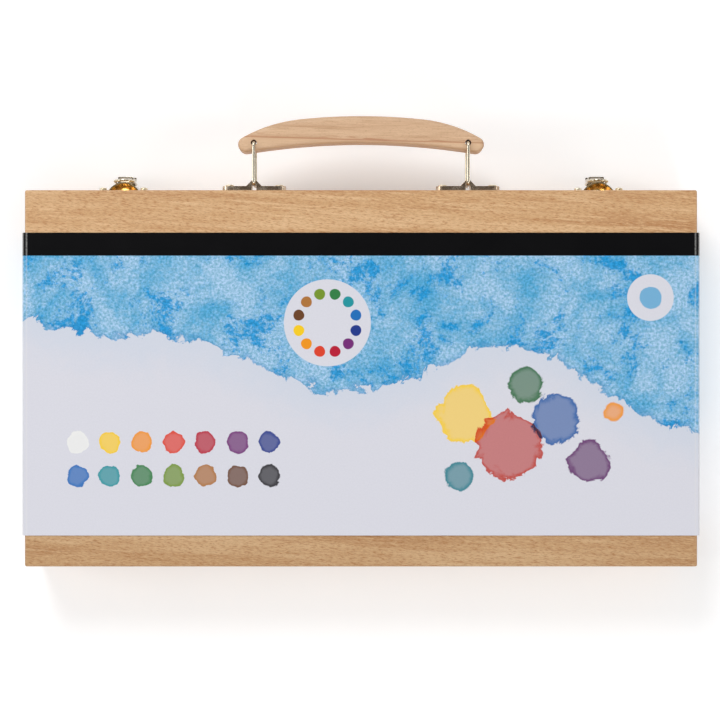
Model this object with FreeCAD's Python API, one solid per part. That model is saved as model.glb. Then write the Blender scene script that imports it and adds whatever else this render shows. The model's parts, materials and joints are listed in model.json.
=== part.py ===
import FreeCAD, Part
import os
from math import asin, cos, degrees, pi, sin, sqrt

# Hinged wooden watercolour case, lying closed on its base half.
# X runs along the case, Y from the latch side (front) to the hinge side (back), Z up.
# The origin is the middle of the case on the surface that it rests on. Millimetres.

# Case
case_length = 400.0
case_width = 224.0
base_depth = 27.0
lid_depth = 27.0
panel_thickness = 3.0
rail_thickness = 10.0
rim_gap = 0.3
edge_round = 1.2
fingers = 5
spare = 1.0  # how far a cutter runs past what it cuts, and joined shapes into each other

# Card sleeve, which slides off towards the latch side
card = 0.6
card_gap = 0.2
card_end_gap = 0.8
card_fold_radius = 1.6
sleeve_from_front = 25.4
sleeve_from_back = 18.6

# Butt hinges
hinge_from_end = 75.0
hinge_length = 38.0
hinge_set_back = 0.2
leaf_width = 8.5
leaf_thickness = 1.0
knuckles = 5
knuckle_radius = 2.1
knuckle_clearance = 0.3
hinge_pin_radius = 1.0
pin_clearance = 0.05
hinge_screw_spacing = 24.0

# Handle
grip_beyond_holes = 9.5
grip_thickness = 18.0
grip_top = 44.8
grip_belly = 28.8
grip_end_bottom = 23.2
grip_end_radius = 4.6
grip_crown_share = 1.74
grip_shoulder_share = 0.44
grip_edge_round = 2.6
bail_spacing = 128.0
bail_hole_height = 28.7
bail_hole_radius = 1.8
bail_axis_height = 4.0
bail_wire_radius = 1.0
bail_side_gap = 0.4
bail_bend_radius = 2.0
handle_plate_length = 38.0
handle_plate_width = 14.0
handle_plate_thickness = 3.0
hump_height = 6.7
hump_width = 9.2
hump_slot_clearance = 0.4
handle_screw_margin = 1.5
plate_corner_share = 0.25

# Latches and strikes
latch_from_end = 56.5
latch_plate_length = 28.0
latch_plate_height = 17.0
latch_plate_thickness = 1.0
latch_plate_below_rim = 2.3
latch_screw_margin = 0.7
latch_pin_below_rim = 6.3
latch_pin_height = 7.6
latch_pin_radius = 0.8
latch_pin_overhang = 0.1
lever_width = 9.4
lever_reach = 10.6
lever_root = 4.0
lever_above_pin = 2.9
lever_below_pin = 14.0
lever_lip = 1.0
lever_rim = 1.8
lever_sides_below_loop = 2.5
sheet_metal = 0.8
ear_radius = 1.8
ear_gap = 0.2
loop_wire_radius = 0.8
loop_half_width = 5.8
loop_length = 20.1
loop_bend_radius = 1.2
loop_anchor_below_pin = 4.6
loop_anchor_height = 6.4
loop_hole_clearance = 0.1
loop_cup_gap = 0.3
strike_length = 30.0
strike_height = 11.5
strike_plate_thickness = 1.0
strike_above_rim = 1.4
strike_screw_margin = 0.4
cup_radius = 10.85
cup_reach = 6.4
cup_depth = 4.8
cup_floor_radius = 3.0
cup_above_rim = 2.1
cup_wall = 0.8

# Screws
pan_head_radius = 2.5
pan_head_height = 1.2
small_head_radius = 2.2
small_head_height = 2.0
head_rounding_share = 0.45
screw_radius = 1.0
screw_length = 7.0
flat_head_radius = 2.2
flat_head_depth = 1.2
slot_width = 0.6
slot_depth = 0.5

# Moulded inserts
insert_wall = 1.0
insert_side_gap = 0.5
insert_lip_below_rim = 0.4
base_deck_below_rim = 2.5
lid_deck_below_rim = 2.5
well_gap = 1.6

# Paint tubes
tube_count = 14
tube_row_from_left = 24.7
tube_row_from_right = 12.7
tubes_from_front = 14.0
tube_radius = 8.5
tube_body_length = 68.0
tube_shoulder_length = 5.0
tube_neck_radius = 5.0
tube_crimp_width = 19.0
tube_crimp_thickness = 1.6
tube_crimp_length = 5.0
cap_length = 13.0
cap_radius = 8.0
cap_bore_depth = 8.0

# Markers
marker_count = 3
markers_behind_tubes = 16.0
markers_from_back = 7.0
markers_beside_palette = 16.2
marker_length = 190.0
marker_radius = 5.5
marker_cap_length = 31.0
marker_below_rim = 1.4
scoop_length = 26.0

# Mixing palette
palette_from_end = 2.7
palette_from_back = 3.7
palette_wells = 6
palette_well_radius = 11.6
palette_well_depth = 7.0
palette_rim = 1.5
palette_height = 10.0
palette_above_deck = 0.7

# Water brushes, fine brush, paper and leaflet
brush_count = 3
brush_pitch = 26.0
brushes_from_end = 27.5
brushes_from_front = 11.1
brush_length = 180.0
brush_radius = 6.5
brush_neck_radius = 5.2
brush_neck_length = 5.0
brush_end_chamfer = 2.0
brush_cap_length = 66.0
brush_cap_wall = 0.9
brush_cap_end = 1.9
brush_cap_gap = 0.2
ferrule_length = 28.0
ferrule_radius = 4.2
ferrule_taper = 8.0
bristle_length = 18.0
bristle_radius = 2.6
bristle_point = 10.8
contents_into_lid = 0.4
fine_brush_beside_brushes = 24.0
fine_handle_radius = 3.4
fine_ferrule_radius = 2.2
fine_ferrule_length = 33.0
fine_swell_start = 16.0
fine_swell_end = 26.0
fine_tail_length = 30.0
fine_tail_round = 1.0
fine_bristle_length = 15.0
fine_bristle_point = 8.3
fine_bristle_radius = 1.8
sheet_count = 15
sheet_thickness = 0.3
paper_beside_fine_brush = 17.0
paper_from_end = 20.5
paper_from_front = 12.5
paper_well_gap = 2.0
leaflet_end_margin = 29.0
leaflet_side_margin = 24.0

# Places worked out from the sizes above
front = -case_width / 2
back = case_width / 2
end = case_length / 2
base_bottom = card + card_gap
base_rim = base_bottom + base_depth
lid_rim = base_rim + rim_gap
lid_top = lid_rim + lid_depth
parting = (base_rim + lid_rim) / 2
lid_middle = (lid_rim + lid_top) / 2
hinge_y = back + hinge_set_back
hinge_place = end - hinge_from_end
latch_place = end - latch_from_end
inner_end = end - rail_thickness - insert_side_gap
inner_front = front + rail_thickness + insert_side_gap
inner_back = back - rail_thickness - insert_side_gap


def vec(x, y, z):
    return FreeCAD.Vector(x, y, z)


X, Y, Z = vec(1, 0, 0), vec(0, 1, 0), vec(0, 0, 1)


def box(x, y, z):
    """A block between pairs of limits along X, Y and Z."""
    return Part.makeBox(x[1] - x[0], y[1] - y[0], z[1] - z[0], vec(x[0], y[0], z[0]))


def around(middle, size):
    return (middle - size / 2, middle + size / 2)


def outward(low, high):
    """The Y limits of something that stands out from the front face by low to high."""
    return (front - high, front - low)


def edges_along(shape, direction):
    """The straight edges of a shape that run along one axis."""
    found = []
    for edge in shape.Edges:
        run = edge.Vertexes[-1].Point - edge.Vertexes[0].Point
        if run.Length > 0.01 and abs(run.normalize().dot(direction)) > 0.999:
            found.append(edge)
    return found


def rounded(shape, direction, radius):
    return shape.makeFillet(radius, edges_along(shape, direction))


def ring_path(corners, radius):
    """A closed wire through corners that are each rounded with the same radius."""
    edges = []
    for i, corner in enumerate(corners):
        following = corners[(i + 1) % len(corners)]
        into = (corners[i - 1] - corner).normalize()
        out = (following - corner).normalize()
        middle = corner + (into + out) * radius * (1 - sqrt(0.5))
        arc = Part.Arc(corner + into * radius, middle, corner + out * radius)
        edges.append(arc.toShape())
        edges.append(Part.LineSegment(corner + out * radius, following - out * radius).toShape())
    return Part.Wire(Part.__sortEdges__(edges))


def wire_solid(path, at, direction, radius):
    """Round wire of one radius along a path that starts at a point in a direction."""
    profile = Part.Wire(Part.Circle(at, direction, radius).toShape())
    return path.makePipeShell([profile], True, False)


def revolved(points, at, axis, across):
    """Turn an outline of (radius, distance along the axis) points about the axis."""
    places = [at + across * r + axis * s for r, s in points]
    face = Part.Face(Part.makePolygon(places + places[:1]))
    return face.revolve(at, axis, 360)


os.makedirs("parts", exist_ok=True)


def save(node, solids):
    """Write one node as a STEP file of its separate solids."""
    pieces = []
    for shape in solids:
        pieces += shape.Solids
    Part.makeCompound(pieces).exportStep(f"parts/{node}.step")


def left_and_right(node, solid):
    """Save a piece made at the right (+X) and its mirror image at the left."""
    save(f"{node}_right", [solid])
    save(f"{node}_left", [solid.mirror(vec(0, 0, 0), X)])


def both(solids):
    return solids + [s.mirror(vec(0, 0, 0), X) for s in solids]


def front_screw(x, seat, z, head_radius, head_height):
    """A slotted screw whose head stands on a plate in front of the case, seat from its face."""
    at = vec(x, front - seat, z)
    head = Part.makeCylinder(head_radius, head_height, at, Y * -1)
    rim = [e for e in head.Edges if abs(e.CenterOfMass.y - at.y + head_height) < 0.01]
    head = head.makeFillet(head_height * head_rounding_share, rim)
    shank = Part.makeCylinder(screw_radius, screw_length, at, Y)
    top = seat + head_height
    long = around(x, 2 * (head_radius + spare))
    slot = box(long, outward(top - slot_depth, top + spare), around(z, slot_width))
    return head.fuse(shank).cut(slot).removeSplitter()


def front_screws(middle, length, margin, seat, z, head_radius, head_height):
    """A screw near each end of a plate of some length, its head margin from the plate's end."""
    places = around(middle, length - 2 * (head_radius + margin))
    return [front_screw(x, seat, z, head_radius, head_height) for x in places]


def flat_screw(at, direction):
    """A countersunk slotted screw whose head is flush with the point."""
    head = Part.makeCone(flat_head_radius, screw_radius, flat_head_depth, at, direction * -1)
    shank = Part.makeCylinder(screw_radius, screw_length, at, direction * -1)
    long = around(at.x, 2 * (flat_head_radius + spare))
    slot = box(long, around(at.y, slot_width), around(at.z, 2 * slot_depth))
    return head.fuse(shank).cut(slot).removeSplitter()


# Wooden frame of each half, with finger joints at its corners


def finger_heights(low, high, first):
    step = (high - low) / fingers
    return [(low + i * step, low + (i + 1) * step) for i in range(first, fingers, 2)]


def case_envelope():
    block = box((-end, end), (front, back), (base_bottom, lid_top))
    return block.makeFillet(edge_round, block.Edges)


def half_frame(low, high, envelope):
    """The front, back, left and right rails between two heights."""
    rails = {
        "front": box((-end, end), (front, front + rail_thickness), (low, high)),
        "back": box((-end, end), (back - rail_thickness, back), (low, high)),
        "left": box((-end, -end + rail_thickness), (front, back), (low, high)),
        "right": box((end - rail_thickness, end), (front, back), (low, high)),
    }
    for name in rails:
        long_rail = name in ("front", "back")
        for heights in finger_heights(low, high, 1 if long_rail else 0):
            for x in ((-end, -end + rail_thickness), (end - rail_thickness, end)):
                for y in ((front, front + rail_thickness), (back - rail_thickness, back)):
                    rails[name] = rails[name].cut(box(x, y, heights))
        rails[name] = rails[name].common(envelope)
    return rails


envelope = case_envelope()
base_rails = half_frame(base_bottom + panel_thickness, base_rim, envelope)
lid_rails = half_frame(lid_rim, lid_top - panel_thickness, envelope)
base_panel = box((-end, end), (front, back), (base_bottom, base_bottom + panel_thickness))
lid_panel = box((-end, end), (front, back), (lid_top - panel_thickness, lid_top))


# Butt hinges: the base leaf has the odd knuckles and the lid leaf the even ones


def knuckle_span(number):
    step = hinge_length / knuckles
    start = hinge_place - hinge_length / 2 + number * step
    return start, start + step


def barrel(numbers, radius, grow):
    """Cylinders on the hinge axis over the given knuckles, longer by grow at each end."""
    pieces = []
    for number in numbers:
        low, high = knuckle_span(number)
        start = vec(low - grow, hinge_y, parting)
        pieces.append(Part.makeCylinder(radius, high - low + 2 * grow, start, X))
    return pieces


def hinge_leaf(plate_heights, own, other):
    plate = box(around(hinge_place, hinge_length), (hinge_y - leaf_width, hinge_y), plate_heights)
    for room in barrel(other, knuckle_radius + knuckle_clearance, knuckle_clearance / 2):
        plate = plate.cut(room)
    for knuckle in barrel(own, knuckle_radius, -knuckle_clearance / 2):
        plate = plate.fuse(knuckle)
    return plate.removeSplitter()


def hinge_mortise(plate_heights):
    """The recess for a leaf and the whole barrel, cut in a back rail."""
    plate = box(around(hinge_place, hinge_length), (hinge_y - leaf_width, hinge_y), plate_heights)
    room = knuckle_radius + knuckle_clearance
    start = vec(hinge_place - hinge_length / 2 - knuckle_clearance, hinge_y, parting)
    return plate.fuse(Part.makeCylinder(room, hinge_length + 2 * knuckle_clearance, start, X))


odd = range(0, knuckles, 2)
even = range(1, knuckles, 2)
base_leaf_heights = (base_rim - leaf_thickness, base_rim)
lid_leaf_heights = (lid_rim, lid_rim + leaf_thickness)
hinge_pin = Part.makeCylinder(
    hinge_pin_radius, hinge_length, vec(hinge_place - hinge_length / 2, hinge_y, parting), X
)
pin_room = Part.makeCylinder(
    hinge_pin_radius + pin_clearance,
    hinge_length,
    vec(hinge_place - hinge_length / 2, hinge_y, parting),
    X,
)
base_leaf = hinge_leaf(base_leaf_heights, odd, even).cut(hinge_pin)
lid_leaf = hinge_leaf(lid_leaf_heights, even, odd).cut(pin_room)
screw_y = hinge_y - (leaf_width + knuckle_radius) / 2
base_hinge_screws, lid_hinge_screws = [], []
for x in around(hinge_place, hinge_screw_spacing):
    base_hinge_screws.append(flat_screw(vec(x, screw_y, base_rim), Z))
    lid_hinge_screws.append(flat_screw(vec(x, screw_y, lid_rim), Z * -1))
for screw in base_hinge_screws:
    base_leaf = base_leaf.cut(screw)
for screw in lid_hinge_screws:
    lid_leaf = lid_leaf.cut(screw)
base_hinge_screws = both(base_hinge_screws)
lid_hinge_screws = both(lid_hinge_screws)
for cutter in both([hinge_mortise(base_leaf_heights)]) + base_hinge_screws:
    base_rails["back"] = base_rails["back"].cut(cutter)
for cutter in both([hinge_mortise(lid_leaf_heights)]) + lid_hinge_screws:
    lid_rails["back"] = lid_rails["back"].cut(cutter)
left_and_right("hinge_base_leaf", base_leaf)
left_and_right("hinge_lid_leaf", lid_leaf)
left_and_right("hinge_pin", hinge_pin)
save("hinge_screws_base", base_hinge_screws)
save("hinge_screws_lid", lid_hinge_screws)


# Handle: two plates, two closed wire bails and an arched grip


def handle_plate(x):
    plate = box(
        around(x, handle_plate_length),
        outward(0, handle_plate_thickness),
        around(lid_middle, handle_plate_width),
    )
    plate = rounded(plate, Y, handle_plate_width * plate_corner_share)
    foot, top = front - handle_plate_thickness, front - hump_height
    root = foot + spare
    profile = [
        vec(x - hump_width / 2, root, 0),
        vec(x - hump_width / 2, foot, 0),
        vec(x - bail_wire_radius, top, 0),
        vec(x + bail_wire_radius, top, 0),
        vec(x + hump_width / 2, foot, 0),
        vec(x + hump_width / 2, root, 0),
    ]
    hump = Part.Face(Part.makePolygon(profile + profile[:1])).extrude(Z * handle_plate_width)
    hump.translate(vec(0, 0, lid_middle - handle_plate_width / 2))
    plate = plate.fuse(hump).removeSplitter()
    room = bail_wire_radius + hump_slot_clearance
    width = handle_plate_width + 2 * spare
    bottom = vec(x, front - bail_axis_height, lid_middle - width / 2)
    channel = box(around(x, 2 * room), outward(0, bail_axis_height), around(lid_middle, width))
    return plate.cut(Part.makeCylinder(room, width, bottom, Z)).cut(channel)


def bail(x):
    """A closed wire rectangle round the grip, through the hump and the grip's hole."""
    reach = grip_thickness / 2 + bail_side_gap + bail_wire_radius
    low, high = front - bail_axis_height, front - bail_hole_height
    corners = [
        vec(x, low, lid_middle - reach),
        vec(x, high, lid_middle - reach),
        vec(x, high, lid_middle + reach),
        vec(x, low, lid_middle + reach),
    ]
    middle = vec(x, (low + high) / 2, lid_middle - reach)
    path = ring_path(corners, bail_bend_radius)
    return wire_solid(path, middle, Y, bail_wire_radius)


grip_length = bail_spacing + 2 * grip_beyond_holes


def grip_outline():
    """Tangent arcs: a flat crown, a shoulder at each side, round ends and an arched belly."""
    end_x, end_u = grip_length / 2 - grip_end_radius, grip_end_bottom + grip_end_radius
    rise = grip_top - end_u
    one_arc = (end_x**2 + rise**2 - grip_end_radius**2) / (2 * (rise - grip_end_radius))
    crown, shoulder = grip_crown_share * one_arc, grip_shoulder_share * one_arc
    drop = end_u - grip_belly
    belly = (end_x**2 + drop**2 - grip_end_radius**2) / (2 * (grip_end_radius - drop))
    # the shoulder's centre lies where circles about the crown's and the end's centres meet
    crown_u = grip_top - crown
    span = sqrt(end_x**2 + (end_u - crown_u) ** 2)
    far, near = crown - shoulder, shoulder - grip_end_radius
    along = (far**2 - near**2 + span**2) / (2 * span)
    aside = sqrt(far**2 - along**2)
    shoulder_x = (along * end_x - aside * (end_u - crown_u)) / span
    shoulder_u = crown_u + (along * (end_u - crown_u) + aside * end_x) / span

    def from_centre(x, u, towards_x, towards_u, radius):
        reach = sqrt((towards_x - x) ** 2 + (towards_u - u) ** 2)
        return (x + (towards_x - x) * radius / reach, u + (towards_u - u) * radius / reach)

    crown_end = from_centre(0, crown_u, shoulder_x, shoulder_u, crown)
    shoulder_end = from_centre(shoulder_x, shoulder_u, end_x, end_u, shoulder)
    middle_x = (crown_end[0] + shoulder_end[0]) / 2
    shoulder_rise = sqrt(shoulder**2 - (middle_x - shoulder_x) ** 2)
    belly_end = from_centre(0, grip_belly - belly, end_x, end_u, belly)
    arcs = []
    for side in (1, -1):

        def at(x, u):
            return vec(side * x, front - u, 0)

        arcs.append(Part.Arc(at(*crown_end), at(middle_x, shoulder_u + shoulder_rise), at(*shoulder_end)))
        arcs.append(Part.Arc(at(*shoulder_end), at(grip_length / 2, end_u), at(*belly_end)))
    arcs.append(Part.Arc(at(-crown_end[0], crown_end[1]), vec(0, front - grip_top, 0), at(*crown_end)))
    arcs.append(Part.Arc(at(-belly_end[0], belly_end[1]), vec(0, front - grip_belly, 0), at(*belly_end)))
    return Part.Wire(Part.__sortEdges__([arc.toShape() for arc in arcs]))


def grip():
    """An arched wooden grip with two cross holes for the bails."""
    solid = Part.Face(grip_outline()).extrude(Z * grip_thickness)
    solid.translate(vec(0, 0, lid_middle - grip_thickness / 2))
    upright = edges_along(solid, Z)
    outline_edges = [e for e in solid.Edges if not any(e.isSame(u) for u in upright)]
    solid = solid.makeFillet(grip_edge_round, outline_edges)
    length = grip_thickness + 2 * spare
    for x in around(0, bail_spacing):
        start = vec(x, front - bail_hole_height, lid_middle - length / 2)
        solid = solid.cut(Part.makeCylinder(bail_hole_radius, length, start, Z))
    return solid


handle_plate_right = handle_plate(bail_spacing / 2)
handle_screws = front_screws(
    bail_spacing / 2, handle_plate_length, handle_screw_margin,
    handle_plate_thickness, lid_middle, pan_head_radius, pan_head_height,
)
for screw in handle_screws:
    handle_plate_right = handle_plate_right.cut(screw)
handle_screws = both(handle_screws)
left_and_right("handle_plate", handle_plate_right)
left_and_right("handle_bail", bail(bail_spacing / 2))
save("handle_grip", [grip()])
save("handle_screws", handle_screws)


# Strike: a plate on the lid with half a cup that the latch's loop hooks over

strike_low = lid_rim + strike_above_rim
cup_bottom = lid_rim + cup_above_rim


def bowl_point(axis, angle, inset):
    """A point of the bowl's line, from its floor (0) to its rim (90 degrees), moved inwards."""
    out = cup_floor_radius + (cup_radius - cup_floor_radius - inset) * sin(angle)
    up = cup_depth * (1 - cos(angle)) + inset * cos(angle)
    return axis + X * out + Z * up


def strike(x):
    plate = box(
        around(x, strike_length),
        outward(0, strike_plate_thickness),
        (strike_low, strike_low + strike_height),
    )
    plate = rounded(plate, Y, strike_height * plate_corner_share)
    axis = vec(x, front + cup_radius - cup_reach, cup_bottom)
    angles = (0, pi / 3, pi / 2)
    outside = [bowl_point(axis, angle, 0) for angle in angles]
    inside = [bowl_point(axis, angle, cup_wall) for angle in angles]
    lifted = axis + Z * cup_wall
    edges = [
        Part.LineSegment(axis, outside[0]).toShape(),
        Part.Arc(*outside).toShape(),
        Part.LineSegment(outside[2], inside[2]).toShape(),
        Part.Arc(*inside[::-1]).toShape(),
        Part.LineSegment(inside[0], lifted).toShape(),
        Part.LineSegment(lifted, axis).toShape(),
    ]
    cup = Part.Face(Part.Wire(edges)).revolve(axis, Z, 360)
    size = 2 * (cup_radius + spare)
    heights = (cup_bottom - spare, cup_bottom + cup_depth + spare)
    keep = box(around(x, size), outward(strike_plate_thickness / 2, size), heights)
    return plate.fuse(cup.common(keep)).removeSplitter()


strike_right = strike(latch_place)
strike_screws = front_screws(
    latch_place, strike_length, strike_screw_margin,
    strike_plate_thickness, strike_low + strike_height / 2, small_head_radius, small_head_height,
)
for screw in strike_screws:
    strike_right = strike_right.cut(screw)
strike_screws = both(strike_screws)
left_and_right("strike", strike_right)
save("strike_screws", strike_screws)


# Latch: plate with ears, pin, channel-shaped lever and a wire loop hung on the lever

pin_y = front - latch_pin_height
pin_z = base_rim - latch_pin_below_rim
anchor_y = front - loop_anchor_height
anchor_z = pin_z - loop_anchor_below_pin
flange_inside = lever_width / 2 - sheet_metal
latch_plate_z = base_rim - latch_plate_below_rim - latch_plate_height / 2


def latch_plate(x):
    plate = box(
        around(x, latch_plate_length),
        outward(0, latch_plate_thickness),
        around(latch_plate_z, latch_plate_height),
    )
    plate = rounded(plate, Y, latch_plate_height * plate_corner_share)
    outer = flange_inside - ear_gap
    for ear in ((x - outer, x - outer + sheet_metal), (x + outer - sheet_metal, x + outer)):
        web = box(ear, outward(0, latch_pin_height), around(pin_z, 2 * ear_radius))
        nose = Part.makeCylinder(ear_radius, sheet_metal, vec(ear[0], pin_y, pin_z), X)
        plate = plate.fuse(web).fuse(nose)
    return plate.removeSplitter()


def latch_lever(x):
    """A channel that covers the ears, its sides cut back below the loop, with a lip to lift."""
    low, high = pin_z - lever_below_pin, pin_z + lever_above_pin
    body = box(around(x, lever_width), outward(lever_root, lever_reach), (low, high))
    halfway = front - (lever_root + lever_reach) / 2
    body = body.makeFillet(sheet_metal, [e for e in edges_along(body, Z) if e.CenterOfMass.y < halfway])
    inside = outward(lever_root - spare, lever_reach - sheet_metal)
    body = body.cut(box(around(x, 2 * flange_inside), inside, (low - spare, high + spare)))
    sides = around(x, lever_width + 2 * spare)
    below_loop = (low - spare, anchor_z - lever_sides_below_loop)
    body = body.cut(box(sides, outward(0, lever_reach - lever_rim), below_loop))
    lip_reach = outward(lever_reach - sheet_metal, lever_reach + lever_lip)
    lip = box(around(x, lever_width), lip_reach, (low - sheet_metal, low))
    return body.fuse(lip).removeSplitter()


def loop_path():
    """The loop's line in its own plane: X across, Z along, from its inner end round to the other."""
    w, r = loop_half_width, loop_bend_radius
    straight = loop_length - w
    inner = flange_inside - ear_gap
    side = r * (1 - sqrt(0.5))
    edges = [
        Part.LineSegment(vec(-inner, 0, 0), vec(-w + r, 0, 0)).toShape(),
        Part.Arc(vec(-w + r, 0, 0), vec(-w + side, 0, side), vec(-w, 0, r)).toShape(),
        Part.LineSegment(vec(-w, 0, r), vec(-w, 0, straight)).toShape(),
        Part.Arc(vec(-w, 0, straight), vec(0, 0, loop_length), vec(w, 0, straight)).toShape(),
        Part.LineSegment(vec(w, 0, straight), vec(w, 0, r)).toShape(),
        Part.Arc(vec(w, 0, r), vec(w - side, 0, side), vec(w - r, 0, 0)).toShape(),
        Part.LineSegment(vec(w - r, 0, 0), vec(inner, 0, 0)).toShape(),
    ]
    return Part.Wire(edges), vec(-inner, 0, 0)


def latch_loop(x):
    """The wire loop, leaning out just clear of the cup so that the lid is free."""
    path, start = loop_path()
    solid = wire_solid(path, start, X, loop_wire_radius)
    clear = cup_reach + loop_cup_gap + loop_wire_radius
    lean = asin((clear - loop_anchor_height) / loop_length)
    solid.rotate(vec(0, 0, 0), X, degrees(lean))
    solid.translate(vec(x, anchor_y, anchor_z))
    return solid


def cross_hole(x, y, z, radius):
    length = lever_width + 2 * spare
    return Part.makeCylinder(radius, length, vec(x - length / 2, y, z), X)


plate_right = latch_plate(latch_place)
lever_right = latch_lever(latch_place)
pin_length = lever_width + 2 * latch_pin_overhang
pin_start = vec(latch_place - pin_length / 2, pin_y, pin_z)
latch_pin = Part.makeCylinder(latch_pin_radius, pin_length, pin_start, X)
plate_right = plate_right.cut(latch_pin)
lever_right = lever_right.cut(cross_hole(latch_place, pin_y, pin_z, latch_pin_radius + pin_clearance))
loop_hole_radius = loop_wire_radius + loop_hole_clearance
lever_right = lever_right.cut(cross_hole(latch_place, anchor_y, anchor_z, loop_hole_radius))
latch_screws = front_screws(
    latch_place, latch_plate_length, latch_screw_margin,
    latch_plate_thickness, latch_plate_z, small_head_radius, small_head_height,
)
for screw in latch_screws:
    plate_right = plate_right.cut(screw)
latch_screws = both(latch_screws)
left_and_right("latch_plate", plate_right)
left_and_right("latch_pin", latch_pin)
left_and_right("latch_lever", lever_right)
left_and_right("latch_loop", latch_loop(latch_place))
save("latch_screws", latch_screws)

# The wooden pieces, drilled for their screws
for screw in latch_screws:
    base_rails["front"] = base_rails["front"].cut(screw)
for screw in handle_screws + strike_screws:
    lid_rails["front"] = lid_rails["front"].cut(screw)
for name in base_rails:
    save(f"base_{name}_rail", [base_rails[name]])
    save(f"lid_{name}_rail", [lid_rails[name]])
save("base_panel", [base_panel.common(envelope)])
save("lid_panel", [lid_panel.common(envelope)])


# Card sleeve: a band round the case, open along the parting line

sleeve_y = (front + sleeve_from_front, back - sleeve_from_back)
sleeve_inside = end + card_end_gap
sleeve_top = lid_top + card_gap + card


def sleeve_half(heights):
    outer = box(around(0, 2 * (sleeve_inside + card)), sleeve_y, (0, sleeve_top))
    inner = box(around(0, 2 * sleeve_inside), sleeve_y, (card, sleeve_top - card))
    band = rounded(outer, Y, card_fold_radius).cut(rounded(inner, Y, card_fold_radius - card))
    return band.common(box(around(0, 2 * (sleeve_inside + card)), sleeve_y, heights))


save("sleeve_base_half", [sleeve_half((0, base_rim))])
save("sleeve_lid_half", [sleeve_half((lid_rim, sleeve_top))])


# Moulded inserts: a deck with a raised lip, a skirt down to the panel and hanging wells


def insert(deck, rim, floor, wells):
    """deck is the deck's outer face; floor is the panel's inner face; wells are (x, y, bottom)."""
    down = 1 if floor > deck else -1
    lip = rim + down * insert_lip_below_rim
    outline = ((-inner_end, inner_end), (inner_front, inner_back))
    hollow = ((-inner_end + insert_wall, inner_end - insert_wall),
              (inner_front + insert_wall, inner_back - insert_wall))
    tall = sorted((lip, floor))
    shell = box(*outline, tall).cut(box(*hollow, (tall[0] - spare, tall[1] + spare)))
    shell = shell.fuse(box(*hollow, sorted((deck, deck + down * insert_wall))))
    cups, rooms = [], []
    for x, y, bottom in wells:
        grown_x = (x[0] - insert_wall, x[1] + insert_wall)
        grown_y = (y[0] - insert_wall, y[1] + insert_wall)
        cups.append(box(grown_x, grown_y, sorted((deck, bottom + down * insert_wall))))
        rooms.append(box(x, y, sorted((deck - down * spare, bottom))))
    return shell.multiFuse(cups).cut(Part.makeCompound(rooms)).removeSplitter()


base_floor = base_bottom + panel_thickness
lid_floor = lid_top - panel_thickness
base_deck = base_rim - base_deck_below_rim
lid_deck = lid_rim + lid_deck_below_rim

# Where the paints and tools lie in the base
tube_z = base_rim - tube_radius
tube_start = inner_front + tubes_from_front
tube_length = tube_crimp_length + tube_body_length + tube_shoulder_length + cap_length
tube_pitch = (2 * inner_end - tube_row_from_left - tube_row_from_right) / tube_count
tube_places = [tube_row_from_left - inner_end + (i + 0.5) * tube_pitch for i in range(tube_count)]
palette_bottom = base_deck + palette_above_deck - palette_height
palette_reach = 2 * palette_well_radius + palette_rim
palette_outer = palette_reach + palette_well_radius + palette_rim
palette_x = inner_end - palette_from_end - palette_outer
palette_y = inner_back - palette_from_back - palette_outer
marker_z = base_rim - marker_below_rim - marker_radius
marker_middle = palette_x - palette_outer - markers_beside_palette - marker_length / 2
markers_front = tube_start + tube_length + markers_behind_tubes
markers_back = inner_back - markers_from_back
marker_pitch = (markers_back - markers_front) / marker_count
marker_places = [markers_back - (i + 0.5) * marker_pitch for i in range(marker_count)]


def well_room(middle, size):
    return around(middle, size + 2 * well_gap)


base_wells = []
tube_lengthwise = well_room(tube_start + tube_length / 2, tube_length)
for x in tube_places:
    base_wells.append((well_room(x, 2 * tube_radius), tube_lengthwise, tube_z - tube_radius))
marker_bottom = marker_z - marker_radius
marker_lengthwise = well_room(marker_middle, marker_length)
for y in marker_places:
    base_wells.append((marker_lengthwise, well_room(y, 2 * marker_radius), marker_bottom))
base_wells.append((around(marker_middle, scoop_length), (markers_front, markers_back), marker_bottom))
palette_room = 2 * palette_outer + well_gap
base_wells.append((around(palette_x, palette_room), around(palette_y, palette_room), palette_bottom))
save("base_insert", [insert(base_deck, base_rim, base_floor, base_wells)])


def oval(at, half_width, half_height):
    """A closed curve square to Y that starts at its +X side."""
    if half_width > half_height:
        curve = Part.Ellipse(at, half_width, half_height)
    else:
        curve = Part.Circle(at, Z, half_width)
    wire = Part.Wire(curve.toShape())
    wire.rotate(at, X, -90)
    return wire


def paint_tube(x):
    """A soft tube: flat crimped end, body that swells to round, shoulder and neck."""
    flat_end = vec(x, tube_start + tube_crimp_length, tube_z)
    flat = oval(flat_end, tube_crimp_width / 2, tube_crimp_thickness / 2)
    crimp = Part.Face(flat).extrude(Y * -tube_crimp_length)
    round_end = flat_end + Y * tube_body_length
    body = Part.makeLoft([flat, oval(round_end, tube_radius, tube_radius)], True)
    shoulder = Part.makeCone(tube_radius, tube_neck_radius, tube_shoulder_length, round_end, Y)
    neck_start = round_end + Y * tube_shoulder_length
    neck = Part.makeCylinder(tube_neck_radius, cap_bore_depth, neck_start, Y)
    return crimp.multiFuse([body, shoulder, neck])


def tube_cap(x):
    y = tube_start + tube_length - cap_length
    cap = Part.makeCylinder(cap_radius, cap_length, vec(x, y, tube_z), Y)
    bore = Part.makeCylinder(tube_neck_radius, cap_bore_depth, vec(x, y, tube_z), Y)
    return cap.cut(bore)


save("paint_tubes", [paint_tube(x) for x in tube_places])
save("tube_caps", [tube_cap(x) for x in tube_places])


def marker_caps(y):
    caps = []
    for x in (marker_middle - marker_length / 2, marker_middle + marker_length / 2 - marker_cap_length):
        caps.append(Part.makeCylinder(marker_radius, marker_cap_length, vec(x, y, marker_z), X))
    return caps


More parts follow.
